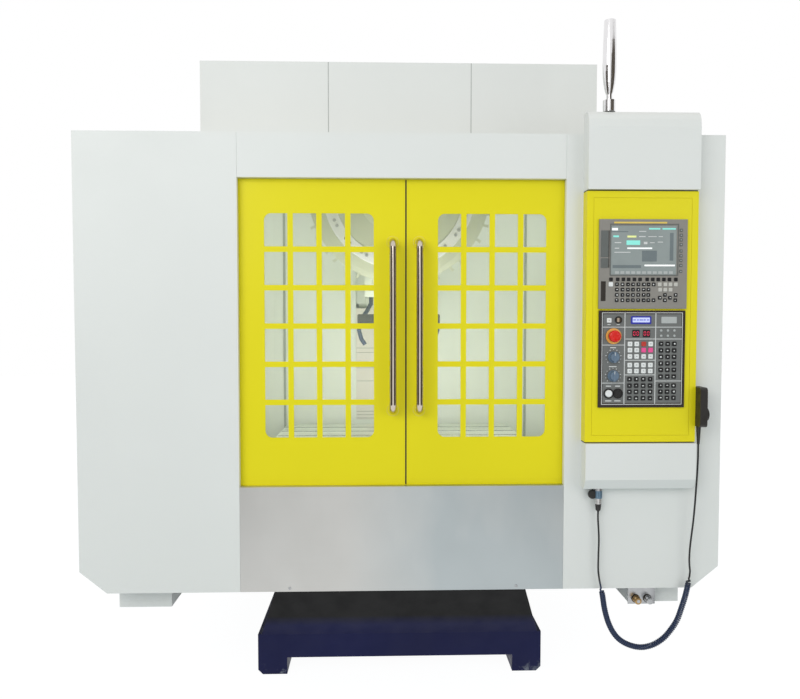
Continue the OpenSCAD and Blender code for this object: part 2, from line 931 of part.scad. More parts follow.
// Folded splash guard behind the table, with a low plate under the head covers
module back_wall() {
    z1 = top_z - sheet - seam;
    edge = half_w - sheet - seam;
    color(WHITE) difference() {
        for (s = [0, 1]) mirror([s, 0, 0])
            translate([0, 0, low_z + sheet]) linear_extrude(z1 - low_z - sheet) polygon([
                [back_edge_x, back_y], [back_fold_x, back_y], [edge, back_y - back_lean],
                [edge, back_y - back_lean + sheet], [back_fold_x, back_y + sheet],
                [back_edge_x, back_y + sheet]
            ]);
        // Clear of the base and its ways
        span([-way_bed_w * half - seam, back_y - back_lean, low_z],
             [way_bed_w * half + seam, back_y + back_lean, way_z + rail_h + seam]);
        for (s = [0, 1]) mirror([s, 0, 0])
            span([arm_x - seam, back_y - arm_t, arm_z - seam],
                 [arm_x + arm_t + seam, back_y + arm_t, arm_z + arm_h + seam]);
        corner = corner_w + sheet + corner_clear;
        for (s = [0, 1]) mirror([s, 0, 0])
            translate([0, back_y - 2 * back_lean, 0]) upright(3 * back_lean) polygon([
                [half_w - corner, low_z - over], [half_w + over, low_z - over],
                [half_w + over, low_z + corner_h + corner_clear],
                [half_w - sheet - seam, low_z + corner_h + corner_clear]
            ]);
    }
    color(WHITE) span([-cover_plate_w * half, back_y, way_z + rail_w],
                      [cover_plate_w * half, back_y + sheet, head_low - 2 * cover_plate_h + 2 * cover_lap]);
}

// Pan round the base, open where the base comes up through it
module chip_pan() {
    x = half_w - corner_w - sheet - seam;
    y1 = back_y - 2 * back_lean;
    color(STAINLESS) difference() {
        span([-x, fold_d + seam, low_z], [x, y1, low_z + sheet]);
        span([-way_bed_w * half - pan_gap, way_y0 - pan_gap, low_z - over],
             [way_bed_w * half + pan_gap, y1 + over, low_z + sheet + over]);
    }
}

// Doors

module window_field() {
    cell_w = (window_w - (window_cols - 1) * window_bar) / window_cols;
    cell_h = (window_h - (window_rows - 1) * window_bar) / window_rows;
    difference() {
        rounded(window_w, window_h, window_r);
        for (i = [1:window_cols - 1])
            translate([i * (cell_w + window_bar) - window_bar, -over])
                square([window_bar, window_h + 2 * over]);
        for (i = [1:window_rows - 1])
            translate([-over, i * (cell_h + window_bar) - window_bar])
                square([window_w + 2 * over, window_bar]);
    }
}

// Right door, from its meeting edge at X = edge
module door(edge) {
    x0 = edge + seam;
    difference() {
        span([x0, door_y, door_low], [door_w, door_y + door_t, door_high]);
        span([x0 + sheet, door_y + sheet, door_low + sheet],
             [door_w - sheet, door_y + door_t + over, door_high - sheet]);
        translate([edge + window_inset, door_y - over, window_z]) upright(sheet + 2 * over) window_field();
    }
}

module pane(edge) {
    translate([edge + window_inset - pane_margin, door_y + sheet, window_z - pane_margin])
        cube([window_w + 2 * pane_margin, glass_t, window_h + 2 * pane_margin]);
}

module handle(edge) {
    straight = handle_l - 2 * handle_bend;
    post = handle_reach - handle_bend;
    translate([edge + handle_x, door_y, handle_low]) {
        translate([0, -handle_reach, handle_bend]) cylinder(d = handle_dia, h = straight);
        for (s = [0, 1])
            translate([0, 0, s * handle_l]) mirror([0, 0, s]) {
                translate([0, -post, handle_bend]) mirror([0, 0, 1]) handle_bow();
                rotate([90, 0, 0]) cylinder(d = handle_dia, h = post);
                rotate([90, 0, 0]) cylinder(r = rosette_r, h = rosette_t);
            }
    }
}

// Quarter bend from the post to the upright tube
module handle_bow() {
    rotate([90, 0, -90]) rotate_extrude(angle = 90)
        translate([handle_bend, 0]) circle(d = handle_dia);
}

module left_door() color(YELLOW) mirror([1, 0, 0]) door(-door_mid);

module right_door() color(YELLOW) door(door_mid);

module left_glass() color(GLASS) mirror([1, 0, 0]) pane(-door_mid);

module right_glass() color(GLASS) pane(door_mid);

module left_handle() color(CHROME) mirror([1, 0, 0]) handle(-door_mid);

module right_handle() color(CHROME) handle(door_mid);

// Control pendant

module pendant_box() {
    color(WHITE) difference() {
        translate([pendant_x, 0, pendant_z]) lengthways(pendant_w) polygon([
            [0, 0], [0, pendant_h],
            for (s = pendant_top_shares)
                [-pendant_d + pendant_top_d * s[0], pendant_h - pendant_top_h * s[1]],
            [-pendant_d, pendant_under],
            [-pendant_d + pendant_under_d, 0]
        ]);
        span([pendant_x - over, -pendant_d - over, front_z - front_gap],
             [pendant_x + pendant_w + over, -front_back, front_top + front_gap]);
    }
}

// Place of a control on the operator panel, at the panel face
function on_panel(shares) = [
    panel_x + panel_w * shares[0], panel_face_y, panel_top - panel_h * shares[1]
];

module panel_bore(shares, r) {
    translate(on_panel(shares)) translate([0, -estop_collar_t, 0]) rotate([-90, 0, 0])
        cylinder(r = r + run, h = stem_d * half + estop_collar_t + 2 * max(estop_travel, button_travel));
}

module control_bores() {
    panel_bore(estop_shares, estop_stem_r);
    for (s = [feed_shares, speed_shares]) panel_bore(s, knob_stem_r);
    for (s = [on_shares, off_shares]) panel_bore(s, button_dia * half);
    panel_bore(lock_shares, lock_r);
}

module pendant_front() {
    color(YELLOW) difference() {
        span([pendant_x, -front_d, front_z], [pendant_x + pendant_w, -front_back, front_top]);
        // Fine joint line round the screwed-on middle plate
        difference() {
            span([pendant_x + front_rim, -front_d - over, front_z + front_rim],
                 [pendant_x + pendant_w - front_rim, -front_d + front_groove, front_top - front_rim]);
            rim = front_rim + front_groove * half;
            span([pendant_x + rim, -front_d - 2 * over, front_z + rim],
                 [pendant_x + pendant_w - rim, -front_d + sheet, front_top - rim]);
        }
        control_bores();
    }
}

module display_unit() {
    sx = display_x + display_w * screen_left_share;
    sz = display_z + display_h * (1 - screen_top_share - screen_h_share);
    color(PANEL_GREY) difference() {
        span([display_x, display_face_y, display_z],
             [display_x + display_w, -front_d, display_z + display_h]);
        span([sx, display_face_y - over, sz],
             [sx + display_w * screen_w_share, display_face_y + screen_t,
              sz + display_h * screen_h_share]);
    }
}

module screen() {
    sx = display_x + display_w * screen_left_share + run;
    sz = display_z + display_h * (1 - screen_top_share - screen_h_share) + run;
    color(BLACK) translate([sx, display_face_y + run, sz])
        cube([display_w * screen_w_share - 2 * run, screen_t - run, display_h * screen_h_share - 2 * run]);
}

module operator_panel() {
    color(PANEL_GREY) difference() {
        union() {
            span([panel_x, panel_face_y, panel_z], [panel_x + panel_w, -front_d, panel_top]);
            control(estop_shares) difference() {
                cylinder(r = estop_collar_r, h = estop_collar_t * half);
                cylinder(r = estop_well_r, h = estop_collar_t);
            }
            for (s = [on_shares, off_shares])
                control(s) cylinder(d = button_dia + estop_collar_t, h = estop_collar_t * half);
        }
        control_bores();
    }
}

// The square keys of one field on a plate w wide and h high with its top left corner at corner
module key_field(f, corner, w, h, size) {
    for (i = [0:f[2] - 1], j = [0:f[3] - 1])
        translate(corner + [w * (f[0] + i * f[4]), -key_t, -h * (f[1] + j * f[5]) - size])
            cube([size, key_t, size]);
}

module panel_keys() {
    color(BLACK) {
        for (f = panel_key_shares)
            key_field(f, [panel_x, panel_face_y, panel_top], panel_w, panel_h, panel_w * panel_key_share);
        for (f = display_key_shares)
            key_field(f, [display_x, display_face_y, display_z + display_h], display_w, display_h,
                      display_w * display_key_share);
    }
}

// Turns a shape that points along +Z so that it stands out of the panel at a control
module control(shares) translate(on_panel(shares)) rotate([90, 0, 0]) children();

module estop_button() {
    color(RED) control(estop_shares) {
        translate([0, 0, -stem_d * half]) cylinder(r = estop_stem_r, h = stem_d * half + estop_travel + over);
        translate([0, 0, estop_travel + estop_collar_t]) rotate_extrude() polygon([
            [0, -estop_collar_t], [estop_stem_r, -estop_collar_t],
            for (s = estop_cap_shares) [estop_dia * half * s[0], estop_cap_t * s[1]],
            [0, estop_cap_t]
        ]);
    }
}

module turning_knob(shares) {
    skirt = knob_t * knob_skirt_share;
    grip = knob_dia * knob_grip_share;
    color(KNOB_BLUE) control(shares) {
        translate([0, 0, -stem_d * half]) cylinder(r = knob_stem_r, h = stem_d * half + over);
        translate([0, 0, run]) difference() {
            cylinder(d = knob_dia, h = skirt);
            translate([0, knob_dia * knob_dot_share, skirt - over])
                cylinder(r = lock_bow_t * half, h = knob_t);
        }
        translate([0, 0, skirt - over])
            cylinder(d = knob_dia * knob_top_share, h = knob_t - skirt + over);
        translate([-grip * half, -knob_dia * knob_grip_l_share * half, skirt])
            cube([grip, knob_dia * knob_grip_l_share, knob_t - skirt + over]);
    }
}

module feed_knob() turning_knob(feed_shares);

module spindle_knob() turning_knob(speed_shares);

module round_button(shares) {
    control(shares) translate([0, 0, -stem_d * half]) rotate_extrude() polygon([
        [0, 0], [button_dia * half, 0], [button_dia * half, stem_d * half + button_t - button_edge],
        [button_dia * half - button_edge, stem_d * half + button_t], [0, stem_d * half + button_t]
    ]);
}

module on_button() color(WHITE) round_button(on_shares);

module off_button() color(BLACK) round_button(off_shares);

module key_switch() {
    color(CHROME) control(lock_shares) {
        translate([0, 0, -stem_d * half]) cylinder(r = lock_r, h = stem_d * half + lock_t * half);
        translate([-lock_bow_t * half, -lock_bow_w * half, 0])
            cube([lock_bow_t, lock_bow_w, 2 * lock_t]);
    }
}

// Hand unit and its cord

module handset_body() {
    x1 = unit_x + unit_t;
    mid = unit_mid_y;
    color(BLACK) {
        difference() {
            translate([unit_x, 0, unit_z]) lengthways(unit_t)
                translate([unit_y, 0]) rounded(unit_w, unit_h, unit_corner_r);
            for (z = [[unit_dial_z_share, unit_pin_r * 2], [unit_knob_z_share, unit_pin_r]])
                translate([x1 - unit_stem_d, mid, unit_z + unit_h * z[0]]) rotate([0, 90, 0])
                    cylinder(r = z[1] + run, h = unit_stem_d + over);
        }
        translate([unit_x + unit_t * half, mid, unit_z - gland_h])
            cylinder(r1 = gland_tip_r, r2 = gland_r, h = gland_h);
    }
}

module handset_dial() {
    color(BLACK) translate([unit_x + unit_t, unit_mid_y, unit_z + unit_h * unit_dial_z_share])
        rotate([0, 90, 0]) {
            translate([0, 0, -unit_stem_l]) cylinder(r = unit_pin_r * 2, h = unit_stem_l + over);
            translate([0, 0, run]) cylinder(r = unit_dial_r, h = unit_dial_t);
            translate([0, unit_dial_r * unit_pin_share, unit_dial_t]) cylinder(r = unit_pin_r, h = unit_pin_t);
        }
}

module handset_knob() {
    color(BLACK) translate([unit_x + unit_t, unit_mid_y, unit_z + unit_h * unit_knob_z_share])
        rotate([0, 90, 0]) {
            translate([0, 0, -unit_stem_l]) cylinder(r = unit_pin_r, h = unit_stem_l + over);
            translate([0, 0, run]) cylinder(r = unit_knob_r, h = unit_knob_t);
            translate([-unit_arm_l, -unit_pin_r * half, unit_knob_t * half])
                cube([unit_arm_l, unit_pin_r, unit_knob_t * half]);
        }
}

module cable_plug() {
    boot_z = plug_top - socket_h - plug_h - boot_h;
    color(STEEL) translate([plug_x, plug_y, boot_z]) {
        cylinder(r1 = boot_tip_r, r2 = boot_r, h = boot_h);
        translate([0, 0, boot_h]) cylinder(r = plug_r, h = plug_h);
        translate([0, 0, boot_h + plug_h]) cylinder(r = socket_r, h = socket_h);
    }
}

module cable_lead() color(BLACK) tube(LEAD_ROUTE, lead_r);

module cable_coil() color(NAVY) tube(COIL_ROUTE, coil_r);

module cable_tail() color(BLACK) tube(TAIL_ROUTE, lead_r);

module signal_lamp() {
    neck = lamp_r * lamp_neck_r_share;
    tip = lamp_r * lamp_tip_r_share;
    collar = lamp_r * lamp_collar_r_share;
    color(CHROME) translate([lamp_x, lamp_y, pendant_top]) rotate_extrude() polygon([
        [0, 0], [collar, 0], [collar, lamp_h * lamp_collar_h_share],
        [neck, lamp_h * lamp_collar_h_share], [neck, lamp_h * lamp_neck_h_share],
        for (s = lamp_shares) [lamp_r * s[0], lamp_h * s[1]],
        [tip, lamp_h], [tip - lamp_wall, lamp_h],
        [tip - lamp_wall, lamp_h - lamp_well], [0, lamp_h - lamp_well]
    ]);
}

// Electrical cabinet behind the enclosure

module electrical_cabinet() {
    w = cabinet_w * half;
    y1 = cabinet_y + cabinet_d;
    color(WHITE) difference() {
        span([-w, cabinet_y, cabinet_z], [w, y1, cabinet_z + cabinet_h]);
        span([-w + cabinet_wall, cabinet_y + cabinet_wall, cabinet_z + cabinet_wall],
             [w - cabinet_wall, y1 + over, cabinet_z + cabinet_h - cabinet_wall]);
    }
    color(WHITE) hinge_half(-1);
}

// A row of drive units on a mounting plate at the back of the cabinet
module cabinet_modules() {
    w = cabinet_w * half - cabinet_lip;
    y0 = cabinet_y + cabinet_wall;
    z0 = cabinet_z + cabinet_lip;
    row = module_count * (module_w + cabinet_wall);
    color(PANEL_GREY) {
        span([-w, y0, z0], [w, y0 + cabinet_wall, cabinet_z + cabinet_h - cabinet_lip]);
        for (i = [0:module_count - 1])
            translate([i * (module_w + cabinet_wall) - row * half, y0 + cabinet_wall - run,
                       cabinet_z + cabinet_h * module_z_share])
                cube([module_w, module_d, module_h]);
        translate([-row * half, y0 + cabinet_wall - run, cabinet_z + cabinet_h * terminal_z_share])
            cube([row, module_d * half, module_h * half]);
    }
}

// Knuckles of one half of a hinge, with the strap that holds them; side +1 is the door
module hinge_half(side) {
    y = cabinet_y + cabinet_d + hinge_gap * half;
    for (z = hinge_z_shares, k = side > 0 ? [1] : [0, 2])
        translate([hinge_x, y, cabinet_z + cabinet_h * z + k * knuckle_h]) {
            cylinder(r = knuckle_r, h = knuckle_h - run);
            span([0, min(side * knuckle_r, side * run), 0],
                 [knuckle_r + seam + sheet * half, max(side * knuckle_r, side * run), knuckle_h - run]);
        }
}

module cabinet_door() {
    w = cabinet_w * half;
    y0 = cabinet_y + cabinet_d + hinge_gap;
    latch = [cabinet_w * (latch_x_share - half), y0, cabinet_z + cabinet_h * latch_z_share];
    color(WHITE) difference() {
        span([-w, y0, cabinet_z], [w, y0 + cabinet_door_t, cabinet_z + cabinet_h]);
        span([-w + sheet, y0 - over, cabinet_z + sheet],
             [w - sheet, y0 + cabinet_door_t - sheet, cabinet_z + cabinet_h - sheet]);
        for (i = [0:louvre_count - 1], z = louvre_z_shares)
            translate([-louvre_w * half, y0, cabinet_z + cabinet_h * z + i * louvre_pitch])
                cube([louvre_w, cabinet_door_t + over, louvre_h]);
        translate(latch) rotate([-90, 0, 0])
            cylinder(r = latch_r * half + run, h = cabinet_door_t + over);
    }
    color(WHITE) hinge_half(1);
}

module cabinet_latch() {
    y0 = cabinet_y + cabinet_d + hinge_gap;
    color(BLACK)
        translate([cabinet_w * (latch_x_share - half), y0 + cabinet_door_t,
                   cabinet_z + cabinet_h * latch_z_share]) rotate([-90, 0, 0]) {
            translate([0, 0, -cabinet_door_t * half])
                cylinder(r = latch_r * half, h = cabinet_door_t * half + over);
            translate([0, 0, run]) cylinder(r = latch_r, h = latch_t - run);
            translate([-latch_bar_w * half, 0, run]) cube([latch_bar_w, latch_l, latch_t - run]);
        }
}

module drip_trays() {
    color(WHITE) for (s = [0, 1]) mirror([s, 0, 0])
        translate([tray_x, tray_y, low_z - tray_h]) difference() {
            cube([tray_w, tray_d, tray_h]);
            translate([sheet, sheet, sheet]) cube([tray_w - 2 * sheet, tray_d - 2 * sheet, tray_h]);
        }
}

// Two jointed hoses from the underside of the head towards the tool
module coolant_nozzles() {
    route = [for (p = NOZZLE_ROUTE) p + [0, spindle_y, head_low + housing_dia * head_chin_share]];
    color(KNOB_BLUE) for (s = [0, 1]) mirror([s, 0, 0]) tube(route, nozzle_r);
}

// Two air couplings on a small plate under the right side
module air_fittings() {
    color(BRASS) translate([fitting_x, fitting_y, low_z - fitting_plate_h]) {
        translate([-fitting_plate_w * half, 0, 0]) cube([fitting_plate_w, sheet, fitting_plate_h]);
        for (s = [-1, 1])
            translate([s * fitting_step * half, 0, fitting_plate_h * fitting_z_share]) rotate([90, 0, 0]) {
                cylinder(r = fitting_r, h = fitting_l * half);
                cylinder(r = fitting_tip_r, h = fitting_l);
            }
    }
}

stand() base_casting();
stand() linear_rails();
stand() saddle();
stand() x_rails();
stand() table();
stand() column();
stand() z_motor();
stand() head_casting();
stand() spindle_motor();
stand() spindle();
stand() z_cover_top();
stand() z_cover_mid();
stand() magazine_bracket();
stand() magazine_disc();
stand() front_panel_left();
stand() front_panel_right();
stand() side_panel_left();
stand() side_panel_right();
stand() header_panel();
stand() apron_panel();
stand() door_rails();
stand() roof_panels();
stand() upper_cover();
stand() rear_panel();
stand() back_wall();
stand() chip_pan();
stand() left_door();
stand() left_glass();
stand() left_handle();
stand() right_door();
stand() right_glass();
stand() right_handle();
stand() pendant_box();
stand() pendant_front();
stand() display_unit();
stand() screen();
stand() operator_panel();
stand() panel_keys();
stand() estop_button();
stand() feed_knob();
stand() spindle_knob();
stand() on_button();
stand() off_button();
stand() key_switch();
stand() handset_body();
stand() handset_dial();
stand() handset_knob();
stand() cable_plug();
stand() cable_lead();
stand() cable_coil();
stand() cable_tail();
stand() signal_lamp();
stand() electrical_cabinet();
stand() cabinet_modules();
stand() cabinet_door();
stand() cabinet_latch();
stand() drip_trays();
stand() air_fittings();
stand() coolant_nozzles();
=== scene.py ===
"""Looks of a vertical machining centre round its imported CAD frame.

Lengths are millimetres counted as in the part's source: X to the right, Y backwards from the
front face of the enclosure, Z up from the floor. at() turns such a point into the row frame.
"""

import math
import random

import bmesh
import bpy
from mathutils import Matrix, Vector


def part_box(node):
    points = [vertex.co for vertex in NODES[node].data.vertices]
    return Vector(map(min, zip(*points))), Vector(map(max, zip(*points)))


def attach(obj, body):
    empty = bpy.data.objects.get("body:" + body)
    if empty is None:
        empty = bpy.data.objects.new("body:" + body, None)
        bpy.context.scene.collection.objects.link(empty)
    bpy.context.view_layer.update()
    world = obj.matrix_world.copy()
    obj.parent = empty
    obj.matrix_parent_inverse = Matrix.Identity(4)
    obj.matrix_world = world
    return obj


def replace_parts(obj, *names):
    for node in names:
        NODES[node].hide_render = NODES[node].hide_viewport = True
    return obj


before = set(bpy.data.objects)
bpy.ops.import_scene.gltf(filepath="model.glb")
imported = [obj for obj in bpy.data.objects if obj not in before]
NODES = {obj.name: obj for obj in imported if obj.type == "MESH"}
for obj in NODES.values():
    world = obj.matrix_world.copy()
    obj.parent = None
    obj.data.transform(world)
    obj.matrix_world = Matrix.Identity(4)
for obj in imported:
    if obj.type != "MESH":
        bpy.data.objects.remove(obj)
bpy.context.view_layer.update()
MM = 0.001
# How far the enclosure's front face lies before the middle of the row frame
FRONT_Y = round(-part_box("front_panel_left")[0][1] / MM, 1)


def at(x, y, z):
    """A point in millimetres from the front face, as a vector in the row frame."""
    return Vector((x * MM, (y - FRONT_Y) * MM, z * MM))


def corners(node):
    """A node's lowest and highest corners in millimetres, Y from the front face."""
    return [(round(x / MM, 3), round(y / MM + FRONT_Y, 3), round(z / MM, 3)) for x, y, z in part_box(node)]


def middle(node):
    """X, Z of the middle of a node."""
    low, high = corners(node)
    return (low[0] + high[0]) / 2, (low[2] + high[2]) / 2


def srgb(r, g, b):
    """An 8-bit screen colour as the linear colour that a shader takes."""
    def linear(c):
        c /= 255
        return c / 12.92 if c <= 0.04045 else ((c + 0.055) / 1.055) ** 2.4
    return (linear(r), linear(g), linear(b), 1.0)


# Materials

class Shader:
    """A Principled material and the few node helpers that its procedural detail needs."""

    def __init__(self, name, colour, rough=0.5, metal=0.0, **sockets):
        self.mat = bpy.data.materials.new(name)
        self.mat.use_nodes = True
        self.tree = self.mat.node_tree
        self.bsdf = self.tree.nodes["Principled BSDF"]
        self.colour = colour
        self.rough = rough
        self.bsdf.inputs["Base Color"].default_value = colour
        self.bsdf.inputs["Roughness"].default_value = rough
        self.bsdf.inputs["Metallic"].default_value = metal
        for socket, value in sockets.items():
            self.bsdf.inputs[socket.replace("_", " ")].default_value = value
        self.coords = self.tree.nodes.new("ShaderNodeTexCoord").outputs["Object"]

    def node(self, kind, **values):
        """A new node with the given settings."""
        node = self.tree.nodes.new(kind)
        for key, value in values.items():
            setattr(node, key, value)
        return node

    def link(self, a, b):
        self.tree.links.new(a, b)

    def noise(self, scale, detail=3.0, stretch=(1, 1, 1), rough=0.5):
        """Noise over the object; scale counts per metre, and stretch squeezes it along an axis."""
        place = self.node("ShaderNodeMapping")
        place.inputs["Scale"].default_value = stretch
        self.link(self.coords, place.inputs["Vector"])
        noise = self.node("ShaderNodeTexNoise")
        noise.inputs["Scale"].default_value = scale
        noise.inputs["Detail"].default_value = detail
        noise.inputs["Roughness"].default_value = rough
        self.link(place.outputs["Vector"], noise.inputs["Vector"])
        return noise.outputs["Fac"]

    def span(self, fac, low, high, start=0.3, end=0.7):
        """fac from start to end, turned into numbers from low to high."""
        span = self.node("ShaderNodeMapRange")
        for socket, value in zip(("From Min", "From Max", "To Min", "To Max"), (start, end, low, high)):
            span.inputs[socket].default_value = value
        self.link(fac, span.inputs["Value"])
        return span.outputs["Result"]

    def along(self, axis):
        """Place along X, Y or Z of the row frame in metres."""
        parts = self.node("ShaderNodeSeparateXYZ")
        self.link(self.coords, parts.inputs["Vector"])
        return parts.outputs[axis]

    def tint(self, fac, colour):
        """Mixes colour into what the base colour is so far, by fac."""
        mix = self.node("ShaderNodeMix", data_type="RGBA")
        base = self.bsdf.inputs["Base Color"]
        if base.is_linked:
            self.link(base.links[0].from_socket, mix.inputs["A"])
        else:
            mix.inputs["A"].default_value = self.colour
        mix.inputs["B"].default_value = colour
        self.link(fac, mix.inputs["Factor"])
        self.link(mix.outputs["Result"], base)
        return self

    def uneven(self, fac, spread):
        """Roughness that varies by spread round its value."""
        self.link(self.span(fac, self.rough - spread, self.rough + spread), self.bsdf.inputs["Roughness"])
        return self

    def bump(self, fac, strength, distance):
        """Bump by fac, on top of any that is there."""
        bump = self.node("ShaderNodeBump")
        bump.inputs["Strength"].default_value = strength
        bump.inputs["Distance"].default_value = distance
        self.link(fac, bump.inputs["Height"])
        before = self.bsdf.inputs["Normal"]
        if before.is_linked:
            self.link(before.links[0].from_socket, bump.inputs["Normal"])
        self.link(bump.outputs["Normal"], before)
        return self


def scaled(colour, k):
    """A colour made darker or lighter by k."""
    return tuple(c * k for c in colour[:3]) + (1.0,)


# Stretches in metres of the row frame over which a finish changes: grey growing towards the bottom of the
# panels, the apron's painted reflection along X, black painted over navy on the base as the shade of its
# slope, its scuffs near the floor, and the cord's ends over its coil
LOW_GREY_Z = (0.35, 0.9)
REFLECTION_X = (-0.20, 0.12)
SHADED_SLOPE_Z = (0.20, 0.245)
SCUFF_Z = (0.0, 0.045)
COIL_END_Z = (0.45, 0.48)
# Grey that the panels turn to towards the bottom
LOW_GREY = srgb(150, 152, 150)
# Black painted on the base's slope as its shade
SLOPE_SHADE_BLACK = srgb(17, 17, 18)


def powder_coat(name, colour, rough=0.42, cloud=0.05, low_grey=0.0, gloss=0.4):
    """Sheet-metal paint: soft clouds of tone, orange peel, and, where asked for, a grey that grows stronger
    towards the bottom.
    """
    s = Shader(name, colour, rough, Specular_IOR_Level=gloss)
    s.tint(s.span(s.noise(1.7, 2.0), 0.0, 1.0, 0.35, 0.75), scaled(colour, 1 - cloud))
    s.tint(s.span(s.noise(38.0, 4.0), 0.0, 0.35, 0.5, 0.8), scaled(colour, 1 - cloud * 0.6))
    if low_grey:
        # Greyer towards the bottom
        s.tint(s.span(s.along("Z"), low_grey, 0.0, *LOW_GREY_Z), LOW_GREY)
    s.uneven(s.noise(6.0, 3.0), 0.06)
    return s.bump(s.noise(420.0, 2.0), 0.06, 0.0006).mat


def brushed(name, colour, rough, stretch, cloud=0.2, streak=0.16, aniso=0.5, reflected_tone=None):
    """Brushed or ground metal: fine streaks and cloudy smears; given a second colour, a painted reflection
    turns it to that colour along X, with patches of painted highlight.
    """
    s = Shader(name, colour, rough, 1.0, Anisotropic=aniso)
    s.tint(s.span(s.noise(2.4, 3.0, (1.0, 1.0, 0.8)), 0.0, 1.0, 0.3, 0.72), scaled(colour, 1 - cloud))
    streaks = s.noise(60.0, 5.0, stretch, 0.65)
    s.tint(s.span(streaks, 0.0, 0.55, 0.35, 0.75), scaled(colour, 1 - streak))
    if reflected_tone:
        # Painted reflection: the metal turns cooler and darker towards the right, and the brighter cloudy
        # patches below are painted highlights
        s.tint(s.span(s.along("X"), 0.0, 1.0, *REFLECTION_X), reflected_tone)
        s.tint(s.span(s.noise(5.0, 3.0, (1.0, 1.0, 0.5), 0.5), 0.0, 0.3, 0.48, 0.74), scaled(colour, 1.10))
    s.uneven(s.noise(5.0, 4.0), 0.07)
    return s.bump(streaks, 0.05, 0.0004).mat


def casting(name, colour, rough=0.45, scuff_and_shade=None, gloss=0.45):
    """Enamel over a rough casting; with a scuff colour it is rubbed in that colour near the floor, and higher
    up black is painted over it as the shade on its downward slope.
    """
    s = Shader(name, colour, rough, Specular_IOR_Level=gloss)
    s.tint(s.span(s.noise(3.0, 3.0), 0.0, 0.8, 0.35, 0.75), scaled(colour, 0.7))
    if scuff_and_shade:
        # Painted shade: black over the navy where the base's slope faces down under the enclosure
        s.tint(s.span(s.along("Z"), 0.0, 1.0, *SHADED_SLOPE_Z), SLOPE_SHADE_BLACK)
        low = s.span(s.along("Z"), 1.0, 0.0, *SCUFF_Z)
        rub = s.node("ShaderNodeMath", operation="MULTIPLY")
        s.link(low, rub.inputs[0])
        s.link(s.span(s.noise(26.0, 6.0, rough=0.7), 0.0, 0.85, 0.53, 0.68), rub.inputs[1])
        s.tint(rub.outputs[0], scuff_and_shade)
    s.uneven(s.noise(14.0, 4.0), 0.1)
    s.bump(s.noise(70.0, 5.0), 0.12, 0.002)
    return s.bump(s.noise(9.0, 2.0), 0.10, 0.006).mat


def moulding(name, colour, rough, grain=900.0, depth=0.10, ends=None):
    """Moulded plastic or rubber with a fine grain and a worn sheen; ends colours a cord above its coil."""
    s = Shader(name, colour, rough)
    s.tint(s.span(s.noise(22.0, 4.0), 0.0, 0.5, 0.4, 0.75), scaled(colour, 0.86))
    if ends:
        s.tint(s.span(s.along("Z"), 0.0, 1.0, *COIL_END_Z), ends)
    s.uneven(s.noise(45.0, 3.0), 0.07)
    return s.bump(s.noise(grain, 2.0), depth, 0.0004).mat


def polished(name, colour, rough):
    """Plated or turned metal with faint haze."""
    s = Shader(name, colour, rough, 1.0)
    s.tint(s.span(s.noise(30.0, 3.0), 0.0, 0.6, 0.4, 0.8), scaled(colour, 0.9))
    return s.uneven(s.noise(12.0, 4.0), 0.05).mat


def glowing(name, colour, strength):
    """A lit field of a display."""
    s = Shader(name, colour, 0.35, Emission_Color=colour, Emission_Strength=strength)
    return s.uneven(s.noise(60.0, 2.0), 0.05).mat


def window_pane(name):
    """Clear laminated pane: mostly see-through, with a greenish body and a soft sheen."""
    s = Shader(name, srgb(206, 220, 200), 0.06, Alpha=0.10, Specular_IOR_Level=0.6)
    return s.uneven(s.noise(8.0, 3.0), 0.03).mat


